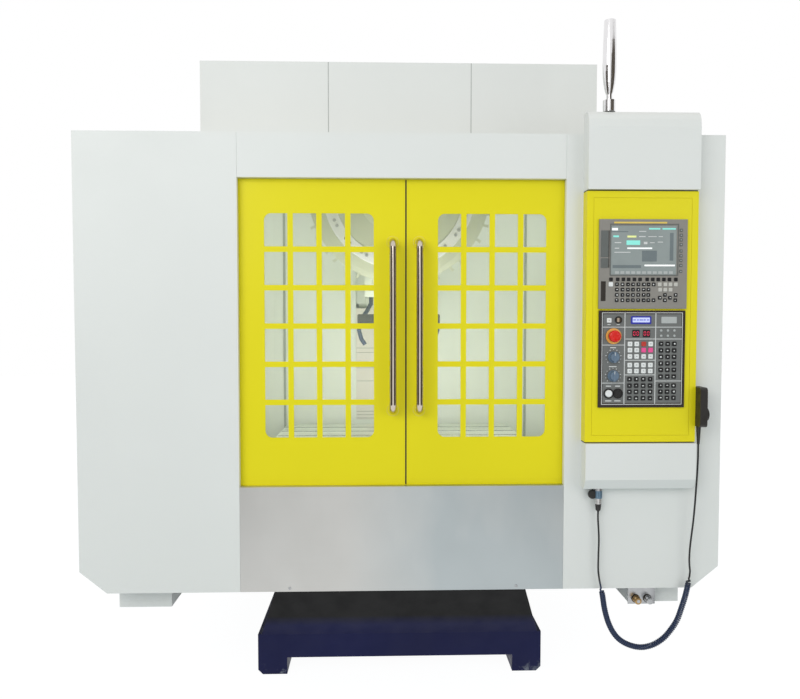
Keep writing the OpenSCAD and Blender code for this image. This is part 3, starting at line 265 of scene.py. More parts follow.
WHITE = srgb(228, 230, 226)
YELLOW = srgb(234, 221, 18)
MATS = {
    "white": powder_coat("white_powder_coat", WHITE, cloud=0.03, low_grey=0.02),
    "inside": powder_coat("inside_white", srgb(216, 223, 205), 0.5),
    # The dish is white; this darker khaki is painted shade
    "disc": powder_coat("magazine_shaded_white", srgb(196, 201, 174), 0.45),
    "slot": moulding("slot_shadow", srgb(74, 78, 70), 0.6, 400.0),
    "folds": powder_coat("cover_sheet", srgb(208, 204, 188), 0.45),
    # Dark strips of painted shade: the inside corners of the splash guard and the folds of the head covers
    "corner": powder_coat("painted_shade_strip", srgb(146, 154, 136), 0.5),
    "yellow": powder_coat("yellow_powder_coat", YELLOW, 0.40, 0.04, gloss=0.25),
    # Navy base casting: scuffed near the floor, with black painted above as the shade on its slope
    "navy": casting("navy_enamel", srgb(24, 28, 70), 0.5, srgb(150, 156, 165), 0.2),
    "casting": casting("casting_enamel", srgb(205, 210, 204), 0.5),
    # Apron with a painted reflection that turns it bluish grey towards the right
    "apron": brushed("brushed_apron", srgb(206, 206, 203), 0.44, (0.02, 1.0, 1.0), 0.06, 0.04, 0.3,
                     srgb(183, 191, 193)),
    "stainless": brushed("brushed_stainless", srgb(190, 193, 193), 0.34, (0.02, 1.0, 1.0)),
    "table": brushed("table_top", srgb(226, 230, 220), 0.45, (0.02, 1.0, 1.0), 0.05, 0.06),
    "steel": brushed("ground_steel", srgb(176, 180, 182), 0.30, (0.03, 1.0, 1.0), 0.12, 0.2),
    # Chrome tinted warm: a painted reflection of its surroundings
    "chrome": polished("chrome_plate", srgb(206, 195, 182), 0.12),
    "silver": polished("satin_silver", srgb(214, 214, 213), 0.30),
    "lamp": polished("lamp_chrome", srgb(232, 231, 232), 0.14),
    "motor": moulding("motor_black", srgb(32, 33, 36), 0.45, 300.0),
    "black": moulding("black_plastic", srgb(30, 29, 28), 0.5),
    "handset": moulding("handset_black", srgb(44, 41, 37), 0.48),
    "glass": window_pane("window_pane"),
    "bezel": moulding("display_bezel", srgb(141, 137, 130), 0.45, 700.0),
    "flap": moulding("card_flap", srgb(99, 103, 100), 0.4, 700.0),
    "frame": moulding("panel_frame", srgb(46, 36, 30), 0.5, 600.0),
    "foil": moulding("panel_foil", srgb(111, 113, 111), 0.52, 1400.0, 0.16),
    "line": moulding("panel_line", srgb(214, 216, 214), 0.5),
    "legend": moulding("legend_grey", srgb(178, 182, 180), 0.5),
    "screen": moulding("screen_glass", srgb(152, 160, 158), 0.16, 200.0, 0.01),
    "key_black": moulding("key_black", srgb(26, 27, 28), 0.42),
    "key_white": moulding("key_white", srgb(232, 234, 232), 0.35),
    "key_pale": moulding("key_pale", srgb(196, 194, 186), 0.4),
    "key_red": moulding("key_red", srgb(196, 52, 38), 0.4),
    "key_pink": glowing("key_lit_pink", srgb(226, 74, 140), 0.15),
    "red": moulding("stop_red", srgb(222, 30, 22), 0.25, 300.0, 0.02),
    "ring": moulding("stop_ring", srgb(240, 178, 84), 0.4),
    "knob": moulding("knob_blue_grey", srgb(102, 122, 142), 0.42),
    "brass": polished("brass", srgb(178, 146, 98), 0.3),
    "hose": moulding("hose_blue", srgb(28, 46, 74), 0.4),
    "cord": moulding("cord_navy", srgb(34, 50, 82), 0.4, 500.0, ends=srgb(24, 24, 26)),
    "gold": moulding("gold_strip", srgb(234, 202, 92), 0.35),
    "plug_blue": polished("plug_blue_steel", srgb(122, 150, 172), 0.32),
    "lcd_blue": moulding("lcd_frame", srgb(38, 44, 168), 0.35),
    "lcd": glowing("lcd_field", srgb(196, 204, 250), 0.25),
    "lcd_mark": moulding("lcd_mark", srgb(74, 84, 196), 0.4),
    "digit": glowing("digit_red", srgb(226, 44, 84), 0.5),
    "cyan": glowing("screen_cyan", srgb(138, 228, 214), 0.2),
    "lime": glowing("screen_lime", srgb(226, 232, 150), 0.2),
    "bright": glowing("screen_white", srgb(250, 252, 250), 0.2),
    "shade": moulding("screen_shade", srgb(118, 128, 130), 0.2, 200.0, 0.01),
    "seal": moulding("rubber_seal", srgb(44, 38, 30), 0.7),
    "joint": moulding("joint_grey", srgb(176, 178, 174), 0.6),
    "zinc": polished("zinc_screw", srgb(186, 188, 190), 0.3),
}

NODE_MATS = {
    "white": ["front_panel_left", "front_panel_right", "side_panel_left", "side_panel_right",
              "header_panel", "roof_panels", "upper_cover", "rear_panel", "pendant_box",
              "electrical_cabinet", "cabinet_door", "drip_trays"],
    "inside": ["back_wall", "head_casting"],
    "disc": ["magazine_disc"],
    "folds": ["z_cover_top", "z_cover_mid"],
    "yellow": ["left_door", "right_door", "pendant_front"],
    "navy": ["base_casting"],
    "casting": ["saddle", "column", "magazine_bracket"],
    "apron": ["apron_panel"],
    "stainless": ["door_rails", "chip_pan"],
    "steel": ["linear_rails", "x_rails"],
    "table": ["table"],
    "chrome": ["left_handle", "right_handle", "spindle", "key_switch"],
    "lamp": ["signal_lamp"],
    "motor": ["z_motor", "spindle_motor"],
    "black": ["off_button", "cabinet_latch"],
    "handset": ["handset_body", "handset_dial", "handset_knob"],
    "glass": ["left_glass", "right_glass"],
    "bezel": ["display_unit"],
    "frame": ["operator_panel"],
    "foil": ["cabinet_modules"],
    "screen": ["screen"],
    "key_black": ["panel_keys"],
    "red": ["estop_button"],
    "knob": ["feed_knob", "spindle_knob"],
    "key_white": ["on_button"],
    "zinc": ["air_fittings"],
    "hose": ["coolant_nozzles"],
    "cord": ["cable_lead", "cable_coil", "cable_tail"],
}
# Width of the rounding along the edges of the nodes of a finish
EDGE_MM = {"white": 2.0, "inside": 1.5, "yellow": 1.5, "navy": 6.0, "casting": 4.0, "apron": 1.5,
           "steel": 1.0, "table": 1.0, "disc": 1.5, "motor": 4.0, "bezel": 1.5, "frame": 1.5,
           "foil": 2.0, "red": 1.0, "knob": 1.2, "handset": 2.5, "key_white": 0.6, "black": 1.0}
# Edges sharper than this are rounded
EDGE_ANGLE = math.radians(40)


def dress_nodes():
    """Gives every CAD node its material, and rounds its edges a little where the real ones are."""
    for key, names in NODE_MATS.items():
        for name in names:
            obj = NODES[name]
            obj.data.materials.clear()
            obj.data.materials.append(MATS[key])
            if key in EDGE_MM:
                bevel = obj.modifiers.new("rounded_edges", "BEVEL")
                bevel.width = EDGE_MM[key] * MM
                bevel.segments = 2
                bevel.limit_method = "ANGLE"
                bevel.angle_limit = EDGE_ANGLE
                bevel.use_clamp_overlap = True


# Mesh pieces

def piece(name, bm, mat, body="machine", smooth=False):
    """Turns a bmesh into a piece that rides on a body."""
    bmesh.ops.recalc_face_normals(bm, faces=bm.faces)
    mesh = bpy.data.meshes.new(name)
    bm.to_mesh(mesh)
    bm.free()
    for p in mesh.polygons:
        p.use_smooth = smooth
    mesh.materials.append(MATS[mat])
    obj = bpy.data.objects.new(name, mesh)
    bpy.context.scene.collection.objects.link(obj)
    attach(obj, body)
    return obj


def rounded_outline(w, h, r, steps=4):
    """Points of a rectangle with round corners about the origin, anticlockwise."""
    r = min(r, w / 2, h / 2)
    points = []
    for k, (sx, sz) in enumerate(((1, 1), (-1, 1), (-1, -1), (1, -1))):
        for i in range(steps + 1):
            a = math.pi / 2 * (k + i / steps)
            points.append((sx * (w / 2 - r) + r * math.cos(a), sz * (h / 2 - r) + r * math.sin(a)))
    return points


def circle(r, steps):
    """Points of a circle about the origin, anticlockwise."""
    turns = [2 * math.pi * i / steps for i in range(steps)]
    return [(r * math.cos(a), r * math.sin(a)) for a in turns]


def loft(bm, rings, ring_shaped=False):
    """Closed skin over rings of points of one count, capped at both ends or led back to the first ring."""
    made = [[bm.verts.new(p) for p in ring] for ring in rings]
    n = len(made[0])
    for a, b in zip(made, made[1:] + made[:1] if ring_shaped else made[1:]):
        for i in range(n):
            bm.faces.new((a[i], a[(i + 1) % n], b[(i + 1) % n], b[i]))
    if not ring_shaped:
        bm.faces.new(made[0])
        bm.faces.new(made[-1])


def slab(bm, x, z, w, h, y, t, r=1.0, edge=0.0, steps=4):
    """A rounded plate centred on X, Z that stands t out of the plane Y, with a soft front edge."""
    def ring(inset, out):
        return [at(x + u, y - out, z + v)
                for u, v in rounded_outline(w - 2 * inset, h - 2 * inset, max(r - inset, 0.05), steps)]
    rings = [ring(0, 0), ring(0, t - edge)]
    if edge:
        rings += [ring(edge * 0.3, t - edge * 0.3), ring(edge, t)]
    loft(bm, rings)


def turned(bm, x, z, y, profile, steps=24, ring_shaped=False):
    """A turned shape on an axis along Y; profile lists radius and distance out of the plane Y."""
    loft(bm, [[at(x + u, y - out, z + v) for u, v in circle(r, steps)] for r, out in profile], ring_shaped)


def hoop(bm, x, z, y, r_in, r_out, t, steps=40):
    """A flat ring that stands t out of the plane Y."""
    turned(bm, x, z, y, ((r_in, 0), (r_in, t), (r_out, t), (r_out, 0)), steps, True)


def standing(bm, x, y, profile, steps=28, flats=0.0):
    """A turned shape on an upright axis; profile lists radius and height, flats ripples the radius."""
    rings = []
    for r, z in profile:
        ring = []
        for i, (u, v) in enumerate(circle(r, steps)):
            k = 1 - flats * (i % 2)
            ring.append(at(x + k * u, y + k * v, z))
        rings.append(ring)
    loft(bm, rings)


def outline_strip(bm, x0, x1, z0, z1, y, t, width, r=0.2):
    """Four thin bars round a rectangle."""
    for z in (z0, z1):
        slab(bm, (x0 + x1) / 2, z, x1 - x0 + width, width, y, t, r)
    for x in (x0, x1):
        slab(bm, x, (z0 + z1) / 2, width, z1 - z0 - width, y, t, r)


# Control pendant

PANEL_LOW, PANEL_HIGH = corners("operator_panel")
DISPLAY_LOW, DISPLAY_HIGH = corners("display_unit")
PANEL_RIM = 2.0
PANEL_Y = PANEL_LOW[1] + PANEL_RIM
DISPLAY_Y = DISPLAY_LOW[1]
SCREEN_Y = corners("screen")[0][1]
PRINT = 0.3
# Millimetres to one unit of the layout, which counts from the top left corner of either plate
LAYOUT = 1.034


def panel(u, v):
    """X, Z of a place on the operator panel."""
    return PANEL_LOW[0] + u * LAYOUT, PANEL_HIGH[2] - v * LAYOUT


def display(u, v):
    """X, Z of a place on the display unit."""
    return DISPLAY_LOW[0] + u * LAYOUT, DISPLAY_HIGH[2] - v * LAYOUT


# Sides and heights of the key caps, and the thickness of the marks on them
PANEL_KEY, WHITE_KEY, PANEL_KEY_T = 15.0, 15.5, 2.4
DISPLAY_KEY, PALE_KEY, RESET_KEY, DISPLAY_KEY_T = 12.0, 12.5, 14.5, 2.2
SIDE_KEY, SIDE_KEY_T = 10.5, 1.8
MARK_T = 0.12
COLS = (102, 124, 147, 169.6)
SIDE_COLS = (203.7, 225.7, 247)


def key_caps(name, mat, places, y, size, height):
    """Key caps with softly rounded edges at the given places, in place of the solid keys."""
    bm = bmesh.new()
    for x, z in places:
        slab(bm, x, z, size, size, y, height, size * 0.16, 0.9, 3)
    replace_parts(piece(name, bm, mat), "panel_keys")


def panel_keys():
    """Keys of the operator panel and of the display unit, with their marks."""
    grid = {(c, r): panel(u, v)
            for r, v in enumerate((108.6, 128.4, 149, 177, 196.5)) for c, u in enumerate(COLS)}
    red, lit = (2, 0), ((2, 1), (3, 1))
    white = [p for k, p in grid.items() if k not in lit and k != red] + [panel(33, 32)]
    black = [panel(u, v) for u in COLS for v in (223, 244, 264, 285)]
    black += [panel(u, v) for u in SIDE_COLS for v in (108, 129.6, 150.5, 172, 193, 214.5, 244, 264, 284)]
    key_caps("panel_keys_white", "key_white", white, PANEL_Y, WHITE_KEY, PANEL_KEY_T)
    key_caps("panel_keys_red", "key_red", [grid[red]], PANEL_Y, WHITE_KEY, PANEL_KEY_T)
    key_caps("panel_keys_lit", "key_pink", [grid[k] for k in lit], PANEL_Y, WHITE_KEY, PANEL_KEY_T)
    key_caps("panel_keys_black", "key_black", black, PANEL_Y, PANEL_KEY, PANEL_KEY_T)
    soft = [display(u, 193) for u in (38.6, 60.5, 79, 96, 114.7, 133.3, 156.4, 174.6, 192.6, 211, 229, 250)]
    letters = [display(u, v) for u in (58, 76.4, 94, 110.5, 128, 145.6, 161) for v in (209, 226, 243, 260)]
    letters += [display(178, 209), display(178, 260)]
    arrows = [display(215, 243), display(198.3, 252), display(231.4, 252), display(215, 260),
              display(250, 243), display(249, 260)]
    dark = soft + letters + arrows
    key_caps("display_keys_black", "key_black", dark, DISPLAY_Y, DISPLAY_KEY, DISPLAY_KEY_T)
    pale = [display(u, 209) for u in (197.5, 216, 232.5, 250)] + [display(u, 226) for u in (199, 216, 233)]
    key_caps("display_keys_pale", "key_pale", pale, DISPLAY_Y, PALE_KEY, DISPLAY_KEY_T)
    key_caps("display_key_white", "key_white", [display(38.2, 209)], DISPLAY_Y, RESET_KEY, DISPLAY_KEY_T)
    sides = [display(265.5, v) for v in (35, 51, 66, 81, 101.5, 117, 132, 148, 167)]
    key_caps("display_keys_side", "flap", sides, DISPLAY_Y, SIDE_KEY, SIDE_KEY_T)
    key_marks(black, letters + arrows, white, sides)


def key_marks(black, letters, white, sides):
    """Plain marks on the key caps: short bars and dots, with no lettering."""
    rng = random.Random(4)
    bm = bmesh.new()
    for places, top, size in ((black, PANEL_Y - PANEL_KEY_T, PANEL_KEY),
                              (letters, DISPLAY_Y - DISPLAY_KEY_T, DISPLAY_KEY)):
        for x, z in places:
            w = rng.choice((0.26, 0.34, 0.42)) * size
            h = rng.choice((0.16, 0.24, 0.34)) * size
            slab(bm, x + rng.uniform(-1, 1), z + rng.uniform(-0.8, 1.2), w, h, top, MARK_T, 0.8, 0.0, 2)
    piece("key_marks_light", bm, "line")
    bm = bmesh.new()
    for x, z in white:
        slab(bm, x, z + 0.4, 5.6, 3.4, PANEL_Y - PANEL_KEY_T, MARK_T, 0.8, 0.0, 2)
    for x, z in sides:
        slab(bm, x, z, 4.6, 2.2, DISPLAY_Y - SIDE_KEY_T, MARK_T, 0.5, 0.0, 2)
    piece("key_marks_grey", bm, "legend")


# Divider lines of the operator panel: its edges, its uprights and the heights of the lines between them
FIELD_LEFT, FIELD_RIGHT, FIELD_TOP, FIELD_FOOT = 11, 273, 7.7, 305
UPRIGHTS = (84.7, 185.7)
FIELD_ROWS = ((54, 112, 235.5), (54, 92.5, 161.5, 209), (54, 92.5, 229))


def operator_panel():
    """Foil of the operator panel: grey field, divider lines, small displays and scales."""
    bm = bmesh.new()
    slab(bm, *panel(142, 156.3), 264, 298, PANEL_Y, PRINT * 0.5, 2.0)
    piece("panel_foil", bm, "foil")
    bm = bmesh.new()
    x0, z1 = panel(FIELD_LEFT, FIELD_TOP)
    x1, z0 = panel(FIELD_RIGHT, FIELD_FOOT)
    outline_strip(bm, x0, x1, z0, z1, PANEL_Y, PRINT, 2.0)
    for u in UPRIGHTS:
        slab(bm, panel(u, 0)[0], (z0 + z1) / 2, 2.6, z1 - z0, PANEL_Y, PRINT, 0.3)
    edges = (FIELD_LEFT, *UPRIGHTS, FIELD_RIGHT)
    for u0, u1, heights in zip(edges, edges[1:], FIELD_ROWS):
        for v in heights:
            slab(bm, *panel((u0 + u1) / 2, v), u1 - u0, 2.2, PANEL_Y, PRINT, 0.3)
    piece("panel_lines", bm, "line")
    small_displays()
    scales_and_legends()


LCD_T, DIGIT_T, DIGIT_ROW = 1.6, 1.2, 74.5


def small_displays():
    """Text display, figure displays, lamps and the plate beside them, all without lettering."""
    bm = bmesh.new()
    slab(bm, *panel(137.5, 31.3), 69, 26.5, PANEL_Y, LCD_T, 3.0, 0.8)
    piece("lcd_frame", bm, "lcd_blue")
    bm = bmesh.new()
    slab(bm, *panel(137.5, 30.8), 58, 16, PANEL_Y - LCD_T, 0.2, 1.0)
    piece("lcd_field", bm, "lcd")
    bm = bmesh.new()
    for i, w in enumerate((9, 6, 12, 8, 7)):
        slab(bm, *panel(115.5 + i * 11, 30.8), w, 3.2, PANEL_Y - LCD_T - 0.2, 0.1, 0.6)
    piece("lcd_marks", bm, "lcd_mark")
    bm = bmesh.new()
    for u in (121, 155.5):
        slab(bm, *panel(u, DIGIT_ROW), 25, 25, PANEL_Y, DIGIT_T, 2.0, 0.5)
    piece("digit_windows", bm, "key_black")
    bm = bmesh.new()
    for u in (115.5, 126.5, 150, 161):
        seven_segments(bm, *panel(u, DIGIT_ROW), PANEL_Y - DIGIT_T)
    piece("digit_bars", bm, "digit")
    bm = bmesh.new()
    for u in SIDE_COLS:
        for v in (65, 82):
            turned(bm, *panel(u, v), PANEL_Y, ((4.2, 0), (4.2, 1.0), (3.2, 1.8), (1.0, 2.1)), 18)
    piece("panel_lamps", bm, "legend", smooth=True)
    bm = bmesh.new()
    slab(bm, *panel(229, 31), 52, 22, PANEL_Y, 0.9, 2.0, 0.4)
    piece("key_tag_plate", bm, "legend")


def seven_segments(bm, x, z, y):
    """Figure 0 of a plain seven-bar display."""
    w, h, t, out = 6.0, 13.0, 1.6, 0.15
    for s in (-1, 1):
        slab(bm, x, z + s * h / 2, w - t, t, y, out, 0.4, 0.0, 2)
        for q in (-1, 1):
            slab(bm, x + s * w / 2, z + q * h / 4, t, h / 2 - t, y, out, 0.4, 0.0, 2)


KNOBS = ("feed_knob", "spindle_knob")
BUTTONS = ("on_button", "off_button")
# Scale of a knob: count of marks, radius, and the first mark's angle and the step to the next in degrees
SCALE_MARKS, SCALE_R, SCALE_START, SCALE_STEP = 11, 25.5, 222, 26.4
COLLAR_LIFT = 2.0


def scales_and_legends():
    """Scales round the knobs, legend bars, collars, stop ring and the knobs' pointers."""
    bm = bmesh.new()
    for x, z in map(middle, KNOBS):
        for i in range(SCALE_MARKS):
            a = math.radians(SCALE_START - SCALE_STEP * i)
            slab(bm, x + SCALE_R * math.cos(a), z + SCALE_R * math.sin(a), 2.2 if i % 2 else 3.8, 2.6,
                 PANEL_Y, PRINT, 0.6, 0.0, 2)
    for x, _ in map(middle, BUTTONS):
        for v, w in ((245.5, 17), (293.5, 21)):
            slab(bm, x, panel(0, v)[1], w, 3.4, PANEL_Y, PRINT, 0.6)
    for u in (33, 63):
        slab(bm, *panel(u, 45.5), 11, 2.2, PANEL_Y, PRINT, 0.6)
    for v, w in ((182, 26), (120.5, 20)):
        slab(bm, *panel(46.8, v), w, 3.2, PANEL_Y, PRINT, 1.0)
    piece("scale_marks", bm, "line")
    bm = bmesh.new()
    hoop(bm, *middle("estop_button"), PANEL_Y - COLLAR_LIFT, 18.4, 26.6, 0.6)
    piece("stop_ring", bm, "ring")
    bm = bmesh.new()
    for button in BUTTONS:
        hoop(bm, *middle(button), PANEL_Y - COLLAR_LIFT, 12.8, 17.0, 2.2)
    hoop(bm, *middle("key_switch"), PANEL_Y, 8.6, 12.5, 1.4)
    piece("button_collars", bm, "black")
    for knob in KNOBS:
        x, z = middle(knob)
        bm = bmesh.new()
        slab(bm, x, z + 11, 1.8, 10, corners(knob)[0][1], 0.2, 0.6)
        piece(knob + "_pointer", bm, "line", knob)


def display_unit():
    """Strip, screen surround, card flap and shadow gaps of the display unit."""
    bm = bmesh.new()
    slab(bm, *display(133, 11), 178, 5.5, DISPLAY_Y, 0.8, 1.0, 0.3)
    piece("display_strip", bm, "gold")
    bm = bmesh.new()
    x0, z1 = display(35.8, 16)
    x1, z0 = display(256, 180)
    outline_strip(bm, x0, x1, z0, z1, DISPLAY_Y, 1.0, 2.6)
    piece("screen_surround", bm, "flap")
    bm = bmesh.new()
    for v, h in ((79, 88), (140.5, 32)):
        slab(bm, *display(17, v), 25, h, DISPLAY_Y, 1.8, 2.0, 0.8)
    piece("card_flap", bm, "flap")
    bm = bmesh.new()
    slab(bm, *display(31.2, 96), 2.2, 124, DISPLAY_Y, 0.6, 0.6)
    slab(bm, *display(14, 231), 16, 66, DISPLAY_Y, 0.5, 1.0)
    piece("display_shadow_gaps", bm, "seal")
    screen_fields()


def screen_fields():
    """Plain bars and boxes on the screen, in the photo's arrangement: place, width and height."""
    fields = {
        "cyan": ((179, 30.5, 38, 5), (226, 30.5, 45, 5), (54, 55, 19, 6), (110, 75, 46, 15)),
        "lime": ((105, 55.5, 30, 6.5),),
        "bright": ((131, 93, 84, 5), (197, 148, 103, 5.5), (50, 32, 20, 8)),
        "line": ((140, 39, 24, 2.6), (139, 55.5, 22, 3), (172, 55.5, 28, 2.4), (199, 55.5, 14, 2.4),
                 (60, 75, 22, 3), (150, 76, 12, 8), (172, 75, 16, 2.4), (198, 73, 18, 2.4), (57, 93, 15, 3),
                 (75, 106, 54, 2.6)),
        "shade": ((163, 118, 50, 36), (90, 152, 96, 10), (66, 40, 56, 3), (235, 88, 12, 92)),
        "legend": tuple((58 + i * 17.6, 171, 13, 9) for i in range(11)),
    }
    for mat, boxes in fields.items():
        bm = bmesh.new()
        for u, v, w, h in boxes:
            slab(bm, *display(u, v), w, h, SCREEN_Y, 0.2 if mat == "shade" else 0.3, 0.6, 0.0, 2)
        piece("screen_" + mat, bm, mat)


# Plug, fittings, screws and hand unit

# Boot of the plug: where its ribs start below the socket's top, and their pitch and taper
BOOT_START, RIB_PITCH, RIB_TAPER = 60, 5, 0.5


def cord_plug():
    """Socket under the pendant, knurled coupling ring, plug shell and black boot, in place of the solid."""
    low, high = corners("cable_plug")
    x, y, top = (low[0] + high[0]) / 2, (low[1] + high[1]) / 2, high[2]
    boot = [(10.4, 56), (10.4, BOOT_START)]
    for k in range(3):
        boot += [(r - RIB_TAPER * k, BOOT_START + RIB_PITCH * k + down)
                 for r, down in ((10.2, 0.5), (9.4, 2.5), (9.9, 4.5))]
    boot += [(7.6, 78.5), (4.2, 82)]
    shell = ((11.4, 37), (11.4, 45), (10.6, 46), (10.6, 48), (11.6, 48.6), (11.6, 56))
    made = []
    for name, mat, slot, profile, steps, knurl in (
            ("plug_socket", "zinc", "steel", ((14.6, 0), (14.6, 3), (13.4, 3.6), (13.4, 10)), 28, 0.0),
            ("plug_ring", "plug_blue", "steel", ((12.8, 10), (13.0, 11), (13.0, 36), (12.2, 37)), 44, 0.05),
            ("plug_shell", "silver", "steel", shell, 28, 0.0),
            ("plug_boot", "black", "black_plastic", boot, 28, 0.0)):
        bm = bmesh.new()
        standing(bm, x, y, [(r, top - down) for r, down in profile], steps, knurl)
        made.append(piece(name, bm, mat))
    bm = bmesh.new()
    cap_x, cap_y = x - 20, y + 2
    turned(bm, cap_x, top - 24, cap_y, ((14.0, -4), (15.0, -3), (15.0, 5), (13.6, 7), (9.0, 7.4)), 28)
    slab(bm, cap_x, top - 6, 5, 12, cap_y, 3, 1.0)
    made.append(piece("plug_cap", bm, "black"))
    for obj in made:
        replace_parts(obj, "cable_plug")
    return made


COUPLING_Y, COUPLING_Z, COUPLING_L = 66.0, 376.9, 29.4


def air_couplings():
    """Quick couplings on the plate under the enclosure: one brass, one grey."""
    profile = ((12.5, 0), (12.5, 5), (11.5, 6), (11.5, 17), (10.2, 18), (10.2, 21), (12.0, 22), (12.0, 27),
               (10.5, 29), (7.2, COUPLING_L))
    for x, mat in ((836.0, "brass"), (878.0, "zinc")):
        bm = bmesh.new()
        turned(bm, x, COUPLING_Z, COUPLING_Y, profile, 32)
        piece("coupling_" + mat, bm, mat)
        bm = bmesh.new()
        hoop(bm, x, COUPLING_Z, COUPLING_Y, 12.6, 15.0, 3.0, 24)
        turned(bm, x, COUPLING_Z, COUPLING_Y - COUPLING_L, ((5.6, 0), (5.6, 0.4), (2.0, 0.5)))
        piece("coupling_seal_" + mat, bm, "seal")


SCREW_STEPS = 18
APRON_SCREWS_X, APRON_SCREWS_Z, APRON_SCREW_R = (-387, 393), 452, 5.0


def screw(bm, x, z, y, r):
    """A button-head screw with a hexagon socket, standing out of the plane Y."""
    head = ((r, 0), (r, r * 0.25), (r * 0.8, r * 0.5), (r * 0.5, r * 0.56))
    rings = [[at(x + u, y - out, z + v) for u, v in circle(q, SCREW_STEPS)] for q, out in head]
    for q, out in ((r * 0.5, r * 0.56), (r * 0.46, r * 0.2)):
        ring = []
        for i, (u, v) in enumerate(circle(q, SCREW_STEPS)):
            a = 2 * math.pi * i / SCREW_STEPS % (math.pi / 3)
            k = math.cos(math.pi / 6) / math.cos(a - math.pi / 6)
            ring.append(at(x + k * u, y - out, z + k * v))
        rings.append(ring)
    loft(bm, rings)


def screws():
    """Two screws low on the apron."""
    bm = bmesh.new()
    for x in APRON_SCREWS_X:
        screw(bm, x, APRON_SCREWS_Z, 0.0, APRON_SCREW_R)
    piece("apron_screws", bm, "zinc")


# Door lip: width, and how much shorter it is than the door; dark strips of painted shade by the pendant's
# front: height, depth and place off the front
LIP_W, LIP_SHORT = 5.0, 48.0
SHADE_STRIP_H, SHADE_STRIP_DEPTH, SHADE_STRIP_OFF = 3.4, 40.0, 2.0
# Joints in the upper cover's front: places along X, width, and the height that they start from
COVER_JOINTS_X, COVER_JOINT_W, COVER_FOOT = (-272.0, 272.0), 3.0, 2003.0


def seals_and_seams():
    """Rubber lip between the doors, dark strips of painted shade over and under the pendant's front, sheet
    joints.
    """
    low, high = corners("left_door")
    gap_x = (high[0] + corners("right_door")[0][0]) / 2
    bm = bmesh.new()
    slab(bm, gap_x, (low[2] + high[2]) / 2, LIP_W, high[2] - low[2] - LIP_SHORT, low[1], 0.5, 0.8)
    piece("door_lip", bm, "seal", "left_leaf")
    low, high = corners("pendant_front")
    bm = bmesh.new()
    # Painted shade: the dark lines where the white box overhangs the pendant's yellow front
    for z in (low[2] - SHADE_STRIP_OFF, high[2] + SHADE_STRIP_OFF):
        slab(bm, (low[0] + high[0]) / 2, z, high[0] - low[0] - 2, SHADE_STRIP_H, high[1], SHADE_STRIP_DEPTH, 0.5)
    piece("pendant_shade_strips", bm, "seal")
    low, high = corners("upper_cover")
    bm = bmesh.new()
    for x in COVER_JOINTS_X:
        slab(bm, x, (COVER_FOOT + high[2]) / 2, COVER_JOINT_W, high[2] - COVER_FOOT - 1, low[1], 0.4, 0.3)
    piece("cover_joints", bm, "joint")


STRIP_W, STRIP_H, STRIP_Z, STRIP_T = 11.0, 1380.0, 1290.0, 7.0
FOLD_W, FOLD_H, FOLD_T = 386.0, 3.0, 0.3


def inside_strips():
    """Dark strips of painted shade in the inside corners of the splash guard, and in the folds of the
    telescopic head covers.
    """
    wall_y = corners("z_cover_top")[0][1] + STRIP_T
    bm = bmesh.new()
    # Painted shade where the side walls meet the back wall
    for x, forward in ((-546.0, 0.0), (642.0, 2.0)):
        slab(bm, x, STRIP_Z, STRIP_W, STRIP_H, wall_y - forward, STRIP_T, 1.0, 1.0)
    piece("wall_strips", bm, "corner")
    for node, body, heights in (("z_cover_top", "head", (1234, 1212, 1136)),
                                ("z_cover_mid", "z_cover", (1071, 920, 903, 887))):
        bm = bmesh.new()
        # Painted shade in the folds of the covers
        for z in heights:
            slab(bm, 0, z, FOLD_W, FOLD_H, corners(node)[0][1], FOLD_T, 0.2)
        piece(node + "_folds", bm, "corner", body)


# Necks of the T-slots, and how far their linings lie below the table's top and how thick they are
SLOT_PITCH, SLOT_NECK, LINING_DOWN, LINING_T = 110.0, 14.0, 0.3, 0.5


def slot_linings():
    """Dark oily walls and bottoms of the necks of the table's T-slots, darkened further as painted shade in
    the slots.
    """
    low, high = corners("table")
    centre, top = (low[1] + high[1]) / 2, high[2]
    r = SLOT_NECK / 2 - 0.05
    inner, deep = r - LINING_T, -2 * r
    section = ((-r, -LINING_DOWN), (-r, deep), (r, deep), (r, -LINING_DOWN), (inner, -LINING_DOWN),
               (inner, deep + LINING_T), (-inner, deep + LINING_T), (-inner, -LINING_DOWN))
    bm = bmesh.new()
    for k in (-1, 0, 1):
        loft(bm, [[at(x, centre + k * SLOT_PITCH + v, top + w) for v, w in section]
                  for x in (low[0] + 1, high[0] - 1)])
    piece("slot_linings", bm, "slot", "table")


SIDE_JOINT_W, SIDE_JOINT_T = 3.0, 0.3


def side_joints():
    """Upright sheet joints on the sides of the enclosure and of the upper cover."""
    bm = bmesh.new()
    for node, sides, y, bottom in (("side_panel_left", (-1,), 640, 480), ("side_panel_right", (1,), 640, 480),
                                   ("upper_cover", (-1, 1), 900, 2004)):
        low, high = corners(node)
        for side in sides:
            x = (high if side > 0 else low)[0]
            rings = []
            for out in (0.0, SIDE_JOINT_T):
                half, z0, z1 = SIDE_JOINT_W / 2 - out, bottom + out, high[2] - 3 - out
                rings.append([at(x + side * out, y + v, z)
                              for v, z in ((-half, z0), (half, z0), (half, z1), (-half, z1))])
            loft(bm, rings)
    piece("side_joints", bm, "joint")


# Tool disc: its middle, its lean in degrees, its grippers, and the circle of the screws on its flange
DISC_Y, DISC_Z, DISC_LEAN, DISC_TOOLS = 430.0, 1880.0, 8.0, 21
SCREW_CIRCLE, SCREW_SPREAD = 280.0, 2.4


